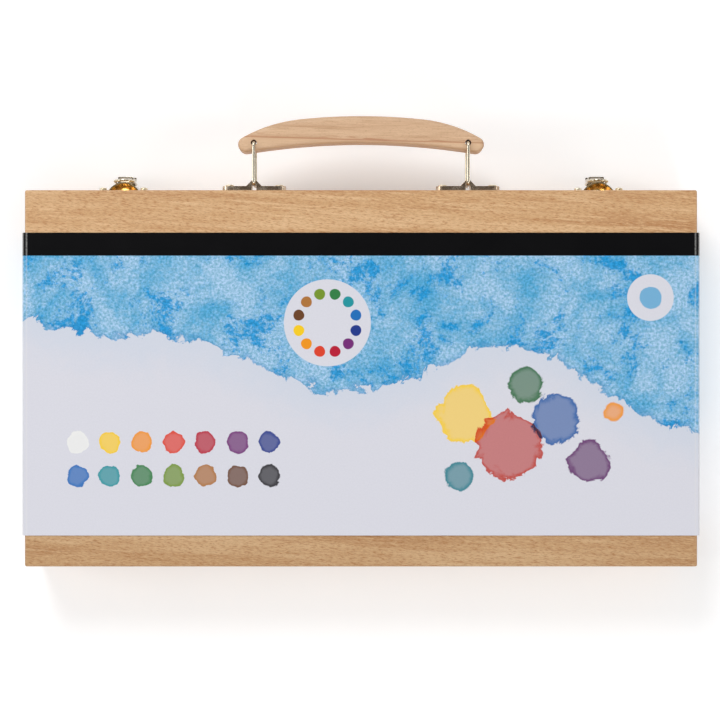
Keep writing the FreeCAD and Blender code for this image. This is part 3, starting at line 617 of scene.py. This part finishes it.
def striped(colour, card, look):
    low, high = look["stripe"]
    soft = 0.1 * mm
    start = between(card["up"], low - soft, low + soft)
    end = between(card["up"], high + 2 * soft, high + soft)
    return mixColour(times(start, end), colour, look["ink"])


def paintedFoldHighlight(colour, card, look):  # painted highlight: pale bands along the card's folds and along the crease beside them
    out = absolute(card["axes"][0])
    creases = [between(apart(out, look["halfWidth"] - inset), look["creaseReach"], width)
               for inset, width in look["creases"]]
    middle = look["top"] / 2
    start, end = look["creaseEnds"]
    onFace = between(apart(card["axes"][2], middle), middle - start, middle - end)
    rub = times(calc("MAXIMUM", *creases), onFace)
    rub = times(rub, between(card["fibre"], 0.25, 0.6))
    # painted highlight: the card's pale core colour laid along the folds
    return stain(colour, rub, look["rub"], look["core"])


def printMaterial(name, look, lidHalf):
    material, shader, place = newMaterial(name, Specular_IOR_Level=0.1)
    card = cardFace(place, look, lidHalf)
    colour = washed(card, look)
    for motif in (blotted, dabbed, wheeled, dropped) if lidHalf else ():
        colour = motif(colour, card, look)
    colour = striped(colour, card, look)
    colour = paintedFoldHighlight(colour, card, look)
    relief = bump(card["fibre"], look["fibreDepth"], 0.5)
    relief = bump(noise(card["flat"], look["buckle"]), look["buckleDepth"], 0.35, relief)
    dress(shader, colour, remap(card["cloud"], 0.3, 0.7, 0.38, 0.5), relief)
    return material


def boardMaterial(name, look):
    material, shader, place = newMaterial(name, Roughness=0.8)
    fibre = noise(mapped(place, scale=(1, 0.35, 1)), look["boardFibre"], 4.0, 0.7)
    specks = noise(place, look["specks"], 1.0)
    colour = ramp(fibre, ((0.3, look["board"]), (0.7, look["core"])))
    colour = stain(colour, between(specks, 0.68, 0.76), 0.4, look["speck"])
    dress(shader, colour, relief=bump(fibre, look["boardDepth"], 0.6))
    return material


def isPrinted(face, middle):  # print faces outwards, the rest is bare board
    normal, centre = face.normal, face.calc_center_median()
    if abs(normal.z) > 0.3:
        outwards = normal.z * (centre.z - middle) > 1e-6
    else:
        outwards = normal.x * centre.x > 0
    return outwards and abs(normal.y) < 0.5


board = boardMaterial("greyBoard", sleeve)
for node, lidHalf in (("sleeve_lid_half", True), ("sleeve_base_half", False)):
    ink = printMaterial("print_" + node, sleeve, lidHalf)
    shape = mergedCopy(node)
    for face in shape.faces:
        face.material_index = 0 if isPrinted(face, sleeve["top"] / 2) else 1
    addPiece(node, shape, [ink, board], 50.0)
print("card sleeve")


# Metal hardware

metals = {
    "nickelPlate": {"colour": srgb(218, 200, 178), "tarnish": srgb(184, 156, 128),
                    "rough": (0.20, 0.32), "drawn": (1, 1, 1)},
    "nickelWire": {"colour": srgb(226, 217, 198), "tarnish": srgb(208, 197, 174),
                   "rough": (0.16, 0.22), "drawn": (1, 0.1, 1)},
    "pressedLever": {"colour": srgb(200, 187, 164), "tarnish": srgb(164, 146, 120),
                     "rough": (0.18, 0.30), "drawn": (1, 1, 0.15)},
    "gildedBrass": {"colour": srgb(242, 216, 164), "tarnish": srgb(222, 188, 126),
                    "rough": (0.18, 0.28), "drawn": (1, 1, 1)},
    "hingeBrass": {"colour": srgb(218, 186, 138), "tarnish": srgb(202, 164, 116),
                   "rough": (0.24, 0.36), "drawn": (0.2, 1, 1)},
    "screwSteel": {"colour": srgb(244, 234, 212), "tarnish": srgb(226, 210, 178),
                   "rough": (0.28, 0.40), "drawn": (1, 1, 1)},
    "brassFerrule": {"colour": srgb(226, 196, 128), "tarnish": srgb(196, 158, 92),
                     "rough": (0.16, 0.28), "drawn": (1, 0.08, 1)},
}


metalMarks = {"cloud": 7 * mm, "lines": 0.35 * mm, "specks": 0.6 * mm,
              "scratch": 0.006 * mm, "dent": 0.05 * mm}


def metalMaterial(name):
    look, marks = metals[name], metalMarks
    material, shader, place = newMaterial(name, Metallic=1.0)
    cloud = noise(place, marks["cloud"], 4.0, 0.6)
    lines = noise(mapped(place, scale=look["drawn"]), marks["lines"], 2.0, 0.6)
    specks = noise(mapped(place, shift=(0.3, 0.7, 0.2)), marks["specks"], 1.0)
    colour = ramp(cloud, ((0.38, look["tarnish"]), (0.60, look["colour"])))
    colour = stain(colour, between(specks, 0.70, 0.80), 0.5, dimmed(look["tarnish"], 0.45))
    rough = remap(blended(cloud, lines, 0.6), 0.35, 0.65, *look["rough"])
    relief = bump(lines, marks["scratch"], 0.7)
    dress(shader, colour, rough, bump(cloud, marks["dent"], 0.25, relief))
    return material


metal = {name: metalMaterial(name) for name in metals}
for node, name, edge in (
    ("handle_plate", "nickelPlate", 0.25 * mm), ("latch_plate", "nickelPlate", 0.15 * mm),
    ("latch_lever", "pressedLever", 0.2 * mm), ("strike", "gildedBrass", 0.15 * mm),
    ("hinge_base_leaf", "hingeBrass", 0.15 * mm), ("hinge_lid_leaf", "hingeBrass", 0.15 * mm),
    ("hinge_pin", "hingeBrass", 0.2 * mm), ("latch_pin", "screwSteel", 0.15 * mm),
):
    for side in ("_left", "_right"):
        refine(node + side, metal[name], edge)
for node, name, edge in (
    ("hinge_screws_base", "hingeBrass", 0.08 * mm), ("hinge_screws_lid", "hingeBrass", 0.08 * mm),
    ("handle_screws", "screwSteel", 0.1 * mm), ("strike_screws", "screwSteel", 0.08 * mm),
    ("latch_screws", "screwSteel", 0.08 * mm),
):
    refine(node, metal[name], edge)
for node in ("handle_bail_left", "handle_bail_right", "latch_loop_left", "latch_loop_right"):
    finishNode(node, metal["nickelWire"])

gripBeech = {
    **beech,
    "pale": srgb(225, 189, 153), "middle": srgb(212, 174, 139), "warm": srgb(202, 160, 123),
    "fleckDark": srgb(184, 142, 104), "poreDark": srgb(156, 112, 76), "endGrain": srgb(176, 132, 96),
    "bands": (120 * mm, 5 * mm, 1.0), "flecks": (16 * mm, 0.9 * mm, 1.0), "pores": (1.8 * mm, 0.16 * mm, 0.4),
    "darkFlecks": 0.45, "glints": 0.5,
    "vein": {"slope": -0.029, "height": -142.6 * mm, "waver": 3 * mm, "width": 0.7 * mm, "reach": 1.8 * mm,
             "dashes": (11 * mm, 0.7 * mm, 1.0), "colour": srgb(186, 132, 96)},
}
finishNode("handle_grip", beechMaterial("gripBeech", "X", 21.0, gripBeech))
print("handle, latches and hinges")


# Trays, palette and other plastics

capPlastic = {"cloud": 9 * mm, "rough": (0.24, 0.30), "ripple": 0.008 * mm}
plastics = {
    "trayWhite": {"colour": srgb(233, 234, 238), "shade": srgb(227, 229, 234), "cloud": 45 * mm,
                  "rough": (0.34, 0.48), "ripple": 0.16 * mm},
    "paletteWhite": {"colour": srgb(236, 239, 243), "shade": srgb(226, 230, 237), "cloud": 22 * mm,
                     "rough": (0.20, 0.32), "ripple": 0.10 * mm},
    "capYellow": {**capPlastic, "colour": srgb(236, 218, 104), "shade": srgb(232, 213, 97)},
    "capMilky": {**capPlastic, "colour": srgb(232, 232, 228), "shade": srgb(227, 228, 225),
                 "rough": (0.22, 0.28)},
    "capBlue": {**capPlastic, "colour": srgb(150, 200, 226), "shade": srgb(143, 194, 222)},
    "barrelMilky": {"colour": srgb(232, 234, 235), "shade": srgb(225, 228, 230), "cloud": 22 * mm,
                    "rough": (0.24, 0.30), "ripple": 0.01 * mm},
    "collarGrey": {"colour": srgb(72, 86, 98), "shade": srgb(54, 66, 78), "cloud": 6 * mm,
                   "rough": (0.26, 0.38), "ripple": 0.02 * mm},
}
plasticMarks = {"grit": 0.5 * mm, "gritDepth": 0.01 * mm, "dust": 1.3 * mm, "dustColour": srgb(150, 145, 138)}


def plasticMaterial(name, **constants):
    look, marks = plastics[name], plasticMarks
    material, shader, place = newMaterial(name, IOR=1.5, **constants)
    cloud = noise(place, look["cloud"], 3.0)
    grit = noise(place, marks["grit"])
    dust = noise(mapped(place, shift=(0.2, 0.5, 0.1)), marks["dust"], 1.0)
    colour = ramp(cloud, ((0.36, look["shade"]), (0.60, look["colour"])))
    colour = stain(colour, between(dust, 0.70, 0.78), 0.12, marks["dustColour"])
    rough = remap(blended(cloud, grit, 0.7), 0.35, 0.65, *look["rough"])
    relief = bump(grit, marks["gritDepth"], 0.5)
    dress(shader, colour, rough, bump(cloud, look["ripple"], 0.6, relief))
    return material


trayWhite = plasticMaterial("trayWhite")
refine("base_insert", trayWhite, 0.9 * mm, 3)
refine("lid_insert", trayWhite, 0.9 * mm, 3)
refine("mixing_palette", plasticMaterial("paletteWhite"), 0.7 * mm, 3)
print("trays and palette")


# Round pieces are drawn along the Y axis at the origin and then moved into place

def everything(shape):
    return list(shape.verts) + list(shape.edges) + list(shape.faces)


def cornersIn(items):
    return [one for one in items if isinstance(one, bmesh.types.BMVert)]


def edgesAmong(items, corners):
    edges = [one for one in items if isinstance(one, bmesh.types.BMEdge)]
    return [edge for edge in edges if all(corner in corners for corner in edge.verts)]


def turned(shape, outline, segments):  # outline: distance along the axis and radius
    corners = [shape.verts.new((radius, along, 0)) for along, radius in outline]
    line = [shape.edges.new(pair) for pair in zip(corners, corners[1:])]
    bmesh.ops.spin(shape, geom=corners + line, cent=(0, 0, 0), axis=(0, 1, 0), angle=fullTurn, steps=segments,
                   use_merge=True)
    bmesh.ops.remove_doubles(shape, verts=shape.verts, dist=drawnGap)
    bmesh.ops.recalc_face_normals(shape, faces=shape.faces)


def drawnOut(shape, sections, segments):  # sections: distance along the axis, half width, half thickness
    place, width, depth = sections[0]
    start = Matrix.Translation((0, place, 0)) @ Matrix.Rotation(math.radians(90), 4, "X")
    made = bmesh.ops.create_circle(shape, cap_ends=True, segments=segments, radius=1.0, matrix=start)
    rim = made["verts"]
    bmesh.ops.scale(shape, verts=rim, vec=(width, 1, depth))
    edges = edgesAmong(shape.edges, rim)
    for nextPlace, nextWidth, nextDepth in sections[1:]:
        made = bmesh.ops.extrude_edge_only(shape, edges=edges)["geom"]
        rim = cornersIn(made)
        edges = edgesAmong(made, rim)
        bmesh.ops.scale(shape, verts=rim, vec=(nextWidth / width, 1, nextDepth / depth))
        bmesh.ops.translate(shape, verts=rim, vec=(0, nextPlace - place, 0))
        place, width, depth = nextPlace, nextWidth, nextDepth
    bmesh.ops.contextual_create(shape, geom=edges)
    bmesh.ops.recalc_face_normals(shape, faces=shape.faces)


def sinkLines(shape, lines, share, low=-math.inf, high=math.inf):  # every other line of corners sinks in
    for corner in shape.verts:
        number = round(math.atan2(corner.co.z, corner.co.x) * lines / fullTurn)
        if low < corner.co.y < high and number % 2:
            corner.co.x *= share
            corner.co.z *= share


def placed(shape, places, turnZ=0.0):  # one copy of the shape at each place
    turn = Matrix.Rotation(turnZ, 3, "Z")
    bmesh.ops.rotate(shape, verts=shape.verts, cent=(0, 0, 0), matrix=turn)
    first = everything(shape)
    groups = [cornersIn(first)]
    for place in places[1:]:
        groups.append(cornersIn(bmesh.ops.duplicate(shape, geom=first)["geom"]))
    for place, group in zip(places, groups):
        bmesh.ops.translate(shape, verts=group, vec=place)
    return groups


def paintEach(shape, groups, colours):  # a colour for every copy
    layer = shape.loops.layers.float_color.new("paint")
    owner = {corner: colour for group, colour in zip(groups, colours) for corner in group}
    for face in shape.faces:
        for loop in face.loops:
            loop[layer] = owner[loop.vert]


def mmOutline(outline):
    return [tuple(value * mm for value in point) for point in outline]


def grooves(starts, radius, depth, width, slope):
    steps = ((0, 0), (slope, depth), (width - slope, depth), (width, 0))
    return [(start + along, radius - sunk) for start in starts for along, sunk in steps]


def turnedPiece(node, outline, places, material, strands=(36, 1.0), name=None, turnZ=0.0, twoEnds=False):
    shape = bmesh.new()
    turned(shape, mmOutline(outline), strands[0])
    sinkLines(shape, *strands)
    if twoEnds:
        bmesh.ops.mirror(shape, geom=everything(shape), axis="Y", merge_dist=0)
        bmesh.ops.recalc_face_normals(shape, faces=shape.faces)
    placed(shape, places, turnZ)
    addPiece(node, shape, [material], 30.0, name)


# Paint tubes: folded flat end, body that swells to round, shoulder, black band and ribbed cap

tube = {
    "count": 14, "firstX": -152.6 * mm, "pitch": 24.4 * mm, "start": -87.5 * mm, "height": 19.3 * mm,
    "segments": 40, "swellSteps": 12,
    # outlines in millimetres
    "fold": ((0, 9.3, 0.5), (0.3, 9.5, 0.8), (2.2, 9.5, 0.8), (2.5, 9.4, 0.35), (2.8, 9.5, 0.8),
             (4.7, 9.5, 0.8), (5, 9.5, 0.6)),
    "bodyEnd": 73.0, "bodyRadius": 8.5, "bulge": 0.10,
    "shoulder": ((73.35, 8.45, 8.45), (73.7, 8.1, 8.1), (78, 5, 5), (79.5, 5, 5)),
    "cap": ((78, 7.5), (78.2, 7.8), (79.4, 7.8), (79.7, 8), (89.2, 7.85), (89.5, 7.6), (90.3, 7.5),
            (90.8, 7.3), (91, 6.9)),
    "ribStart": 79.6 * mm, "ribEnd": 89.3 * mm, "ribs": 28, "ribDepth": 0.96,
    "dishWidth": 1.2 * mm, "dishDepth": 0.5 * mm,
    "band": (-26.0 * mm, -15.5 * mm), "swatch": (-28.6 * mm, -27.2 * mm), "wear": (-83.0 * mm, -80.5 * mm),
    "white": srgb(237, 237, 239), "shade": srgb(231, 232, 235), "ink": srgb(26, 26, 28),
    "foil": srgb(196, 197, 200), "scuff": srgb(190, 188, 184),
    "dents": 13 * mm, "dentDepth": 0.45 * mm, "grit": 0.8 * mm, "gritDepth": 0.01 * mm,
    "capCloud": 5 * mm, "capGrit": 0.6 * mm, "capGritDepth": 0.015 * mm,
    "paints": [srgb(*paint) for paint in (
        (240, 240, 238), (232, 230, 222), (226, 164, 44), (220, 82, 62), (180, 52, 60),
        (40, 92, 156), (38, 58, 110), (44, 104, 60), (36, 60, 58), (232, 146, 48),
        (206, 92, 56), (88, 54, 50), (34, 33, 36), (24, 24, 26),
    )],
}


def paintOf(shader):  # the colour that paintEach gave
    return addNode(shader.id_data, "Attribute", attribute_name="paint").outputs["Color"]


def tubeBodyMaterial(name, look):
    material, shader, place = newMaterial(name, Roughness=0.34, IOR=1.5)
    along = axesOf(place)[1]
    dent = noise(place, look["dents"], 1.0, 0.4)
    grit = noise(place, look["grit"])
    colour = ramp(dent, ((0.34, look["shade"]), (0.56, look["white"])))
    full, none = look["wear"]
    wear = times(between(along, none, full), between(grit, 0.42, 0.60))
    colour = mixColour(wear, colour, look["foil"])
    for part, paint in (("band", look["ink"]), ("swatch", paintOf(shader))):
        colour = mixColour(within(along, *look[part]), colour, paint)
    relief = bump(grit, look["gritDepth"], 0.4)
    relief = bump(dent, look["dentDepth"], 0.7, relief)
    dress(shader, colour, remap(dent, 0.3, 0.7, 0.28, 0.42), relief)
    return material


def tubeCapMaterial(name, look):
    material, shader, place = newMaterial(name, Roughness=0.3, IOR=1.5)
    grit = noise(place, look["capGrit"])
    cloud = noise(place, look["capCloud"])
    colour = stain(paintOf(shader), between(grit, 0.60, 0.72), 0.18, look["scuff"])
    relief = bump(grit, look["capGritDepth"], 0.5)
    dress(shader, colour, remap(cloud, 0.3, 0.7, 0.24, 0.40), relief)
    return material


def tubeSections(look):  # from the folded end to the round shoulder
    sections = list(look["fold"])
    start, foldWidth, foldDepth = sections[-1]
    radius, steps = look["bodyRadius"], look["swellSteps"]
    for step in range(1, steps + 1):
        share = step / steps
        swollen = min(1.0, share + look["bulge"] * math.sin(math.pi * share))
        along = start + (look["bodyEnd"] - start) * share
        width = foldWidth + (radius - foldWidth) * share
        depth = foldDepth + (radius - foldDepth) * swollen
        sections.append((along, width, depth))
    return mmOutline(sections + list(look["shoulder"]))


def buildTubes(look):
    rows = [look["firstX"] + look["pitch"] * number for number in range(look["count"])]
    places = [(row, look["start"], look["height"]) for row in rows]
    shape = bmesh.new()
    drawnOut(shape, tubeSections(look), look["segments"])
    paintEach(shape, placed(shape, places), look["paints"])
    addPiece("paint_tubes", shape, [tubeBodyMaterial("tubeBody", look)], 28.0)

    shape = bmesh.new()
    lines = look["ribs"] * 2
    drawnOut(shape, mmOutline((along, radius, radius) for along, radius in look["cap"]), lines)
    sinkLines(shape, lines, look["ribDepth"], look["ribStart"], look["ribEnd"])
    top = [face for face in shape.faces if face.normal.y > 0.99 and len(face.verts) == lines]
    bmesh.ops.inset_region(shape, faces=top, thickness=look["dishWidth"], depth=-look["dishDepth"])
    paintEach(shape, placed(shape, places), look["paints"])
    addPiece("tube_caps", shape, [tubeCapMaterial("tubeCap", look)], 24.0)


buildTubes(tube)
print("paint tubes")


# Double-ended markers

marker = {
    "height": 20.9 * mm,
    "rows": {"marker_caps_yellow": 82 * mm, "marker_caps_clear": 57 * mm, "marker_caps_blue": 32 * mm},
    "finishes": {"marker_caps_yellow": "Yellow", "marker_caps_clear": "Milky", "marker_caps_blue": "Blue"},
    # outlines in millimetres
    "barrel": ((-64, 0), (-64, 5.2), (-63.7, 5.5), *grooves((-58.6, 57.6), 5.5, 0.25, 1, 0.2),
               (63.7, 5.5), (64, 5.2), (64, 0)),
    "cap": ((64, 0), (64, 5.1), (64.3, 5.45), *grooves((66,), 5.5, 0.25, 1.15, 0.25), (90.5, 5.4),
            (92.6, 5.1), (94, 4.3), (94.8, 2.6), (95, 0)),
    "ink": srgb(30, 31, 34), "sheen": srgb(44, 45, 50), "line": srgb(214, 214, 216),
    "cloud": 12 * mm, "grit": 0.7 * mm, "gritDepth": 0.01 * mm,
    # a pale patch and a long line on each barrel: ends, then sides
    "marks": (((-53 * mm, -44 * mm), (-1.0 * mm, 2.4 * mm)), ((-40 * mm, 50 * mm), (2.9 * mm, 3.3 * mm))),
}


def markerBarrelMaterial(name, look):
    material, shader, place = newMaterial(name, IOR=1.5)
    axes = axesOf(place)
    cloud = noise(place, look["cloud"], 3.0)
    grit = noise(place, look["grit"])
    colour = ramp(cloud, ((0.35, look["ink"]), (0.65, look["sheen"])))
    onTop = calc("GREATER_THAN", axes[2], look["height"])
    for row in look["rows"].values():
        offset = apart(axes[1], row)
        for ends, sides in look["marks"]:
            inked = times(within(axes[0], *ends), within(offset, *sides))
            colour = stain(colour, times(inked, onTop), 0.9, look["line"])
    relief = bump(grit, look["gritDepth"], 0.5)
    dress(shader, colour, remap(cloud, 0.3, 0.7, 0.26, 0.40), relief)
    return material


def buildMarkers(look):
    quarter = -math.pi / 2
    places = {node: (0, row, look["height"]) for node, row in look["rows"].items()}
    inked = markerBarrelMaterial("markerBarrel", look)
    turnedPiece("marker_barrels", look["barrel"], list(places.values()), inked, turnZ=quarter)
    for node, place in places.items():
        finish = look["finishes"][node]
        plastic = plasticMaterial("cap" + finish)
        turnedPiece(node, look["cap"], [place], plastic, (36, 1.0), "markerCaps" + finish, quarter, True)


buildMarkers(marker)
print("markers")


# Water brushes with clear caps, and one fine brush; outlines in millimetres from the tip

brush = {
    "start": -90.4 * mm, "rows": (-162 * mm, -136 * mm, -110 * mm), "height": 37.5 * mm,
    "barrel": ((61, 0), (61, 4.8), (61.3, 5.2), (65.9, 5.2), (66, 6.1), (66.4, 6.5),
               *grooves((70, 73, 76), 6.5, 0.35, 1.6, 0.3), (96, 6.5), (112, 6.2), (140, 6.2), (158, 6.5),
               (176.4, 6.5), (178.4, 6), (179.6, 4.8), (180, 3.6), (180, 0)),
    "ferrule": ((33, 0), (33, 2.6), (34, 2.9), (41, 4.2), *grooves((44, 47, 50), 4.2, 0.25, 1.2, 0.2),
                (61, 4.2), (61, 0)),
    "bristles": ((15, 0), (16, 0.35), (18.5, 1.1), (22, 2), (26, 2.5), (29.5, 2.6), (33, 2.45), (33, 0)),
    "cap": ((0, 0), (0, 4), (0.5, 4.9), (1.4, 5.9), (2.2, 6.25), (3, 6.3), *grooves((60,), 6.3, 0.2, 1, 0.2),
            (65.8, 6.3), (65.8, 5.4), (2.4, 5.4), (1.9, 4.6), (1.9, 0)),
    "hair": srgb(196, 204, 210), "hairShade": srgb(150, 160, 170),
    "strands": (48, 0.91),  # lines around a tuft, and the share to which every other one sinks
    "strand": 0.18 * mm, "strandDepth": 0.12 * mm,
    "clear": srgb(244, 247, 249), "clearShade": srgb(228, 234, 238),
    "ripple": 9 * mm, "rippleDepth": 0.05 * mm,
}
fineBrush = {
    "place": (-86 * mm, -90.4 * mm, 34.4 * mm),
    "bristles": ((0, 0), (0.8, 0.5), (3, 1.1), (6, 1.6), (8.3, 1.8), (12, 1.8), (15, 1.7), (15, 0)),
    "ferrule": ((15, 0), (15, 1.7), (15.2, 1.8), (40, 2.15), (40.3, 1.95), (40.9, 1.95), (41.2, 2.18),
                (43, 2.2), (43.3, 2), (43.9, 2), (44.2, 2.2), (48, 2.2), (48, 0)),
    "handle": ((48, 0), (48, 2.1), (52, 2.4), (58, 2.95), (64, 3.4), (74, 3.4), (92, 3.15),
               (120, 2.75), (150, 2.2), (170, 1.5), (178, 1.15), (179.5, 0.8), (180, 0)),
    "hair": srgb(74, 54, 44), "hairShade": srgb(38, 28, 24),
    "strands": (48, 0.90), "strand": 0.18 * mm, "strandDepth": 0.12 * mm,
    "lacquer": srgb(34, 96, 160), "lacquerShade": srgb(24, 76, 134),
    "streak": 1.2 * mm, "streakDepth": 0.04 * mm,
}


def hairMaterial(name, look):
    material, shader, place = newMaterial(name, Roughness=0.5)
    strands = noise(mapped(place, scale=(1, 0.04, 1)), look["strand"], 2.0, 0.6)
    colour = ramp(strands, ((0.36, look["hairShade"]), (0.62, look["hair"])))
    relief = bump(strands, look["strandDepth"], 0.9)
    dress(shader, colour, remap(strands, 0.3, 0.7, 0.36, 0.6), relief)
    return material


def clearMaterial(name, look):
    material, shader, place = newMaterial(name, IOR=1.49, Transmission_Weight=1.0)
    cloud = noise(place, look["ripple"], 3.0)
    colour = ramp(cloud, ((0.35, look["clearShade"]), (0.65, look["clear"])))
    relief = bump(cloud, look["rippleDepth"], 0.3)
    dress(shader, colour, remap(cloud, 0.3, 0.7, 0.05, 0.14), relief)
    return material


def lacquerMaterial(name, look):
    material, shader, place = newMaterial(name, Coat_Weight=0.6, Coat_Roughness=0.12)
    streaks = noise(mapped(place, scale=(1, 0.06, 1)), look["streak"], 3.0)
    colour = ramp(streaks, ((0.36, look["lacquerShade"]), (0.62, look["lacquer"])))
    relief = bump(streaks, look["streakDepth"], 0.4)
    dress(shader, colour, remap(streaks, 0.3, 0.7, 0.28, 0.42), relief)
    return material


rows = [(row, brush["start"], brush["height"]) for row in brush["rows"]]
barrelMilky = plasticMaterial("barrelMilky", Transmission_Weight=0.25)
turnedPiece("water_brush_barrels", brush["barrel"], rows, barrelMilky)
collarGrey = plasticMaterial("collarGrey")
turnedPiece("water_brush_ferrules", brush["ferrule"], rows, collarGrey, name="waterBrushCollars")
paleHair = hairMaterial("paleHair", brush)
turnedPiece("water_brush_bristles", brush["bristles"], rows, paleHair, brush["strands"], "waterBrushHair")
turnedPiece("water_brush_caps", brush["cap"], rows, clearMaterial("clearCap", brush))
spot = [fineBrush["place"]]
turnedPiece("fine_brush_handle", fineBrush["handle"], spot, lacquerMaterial("blueLacquer", fineBrush))
turnedPiece("fine_brush_ferrule", fineBrush["ferrule"], spot, metal["brassFerrule"])
darkHair = hairMaterial("darkHair", fineBrush)
tuft = (fineBrush["bristles"], spot, darkHair, fineBrush["strands"])
turnedPiece("fine_brush_bristles", *tuft, "fineBrushHair")
print("brushes")


# Paper: fifteen loose sheets, a little uneven, and a leaflet of paint samples

paperStack = {
    "sheets": 15, "seed": 4, "slip": 0.45 * mm, "gap": 0.02 * mm,
    "colour": srgb(238, 238, 240), "shade": srgb(228, 228, 231),
    "tooth": 0.7 * mm, "toothDepth": 0.12 * mm, "cloud": 50 * mm,
}
sampleLeaflet = {
    "colour": srgb(240, 240, 240), "rows": 4, "columns": 7, "middle": 50 * mm, "size": (180 * mm, 130 * mm),
    "halfSample": (0.32, 0.28), "soft": 0.02,  # shares of a column and of a row
    "streaks": 4 * mm, "streakDepth": 0.02 * mm,
}


def paperMaterial(name, look):
    material, shader, place = newMaterial(name, Roughness=0.85)
    tooth = noise(place, look["tooth"], 4.0, 0.65)
    cloud = noise(place, look["cloud"])
    colour = ramp(blended(tooth, cloud, 0.6), ((0.36, look["shade"]), (0.60, look["colour"])))
    dress(shader, colour, relief=bump(tooth, look["toothDepth"], 0.6))
    return material


def leafletMaterial(name, look, paints):
    material, shader, place = newMaterial(name, Roughness=0.45)
    width, length = look["size"]
    axes = axesOf(mapped(place, shift=(width / 2 - look["middle"], length / 2, 0)))
    column = times(axes[0], look["columns"] / width)
    row = times(axes[1], look["rows"] / length)
    inside = 1.0
    for part, half in zip((column, row), look["halfSample"]):
        offset = apart(calc("FRACT", part), 0.5)
        inside = times(inside, filled(offset, half + look["soft"], look["soft"]))
    number = times(calc("FLOOR", row), look["columns"])
    number = plus(calc("FLOOR", column), number)
    which = calc("FRACT", over(number, len(paints)))
    paint = swatches(plus(which, 0.01), paints)
    streaks = noise(place, look["streaks"], 4.0, 0.6)
    strength = times(inside, between(streaks, 0.2, 0.6))
    colour = mixColour(strength, look["colour"], paint)
    dress(shader, colour, relief=bump(streaks, look["streakDepth"], 0.4))
    return material


def addSheet(shape, low, high):
    place = Matrix.Translation((low + high) / 2) @ Matrix.Diagonal((*(high - low), 1.0))
    bmesh.ops.create_cube(shape, size=1.0, matrix=place)


def buildPaper(look):
    low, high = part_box("paper_sheets")
    chance = random.Random(look["seed"])
    thickness = (high.z - low.z) / look["sheets"]
    shape = bmesh.new()
    for sheet in range(look["sheets"]):
        left, front, right, back = [chance.uniform(0, look["slip"]) for side in range(4)]
        bottom = low.z + sheet * thickness
        addSheet(shape, Vector((low.x + left, low.y + front, bottom)),
                 Vector((high.x - right, high.y - back, bottom + thickness - look["gap"])))
    addPiece("paper_sheets", shape, [paperMaterial("roughPaper", look)])


def buildLeaflet(look):
    shape = bmesh.new()
    addSheet(shape, *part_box("leaflet"))
    printed = leafletMaterial("sampleLeaflet", look, sleeve["paints"])
    addPiece("leaflet", shape, [printed], name="sampleLeaflet")


buildPaper(paperStack)
buildLeaflet(sampleLeaflet)
print("paper")
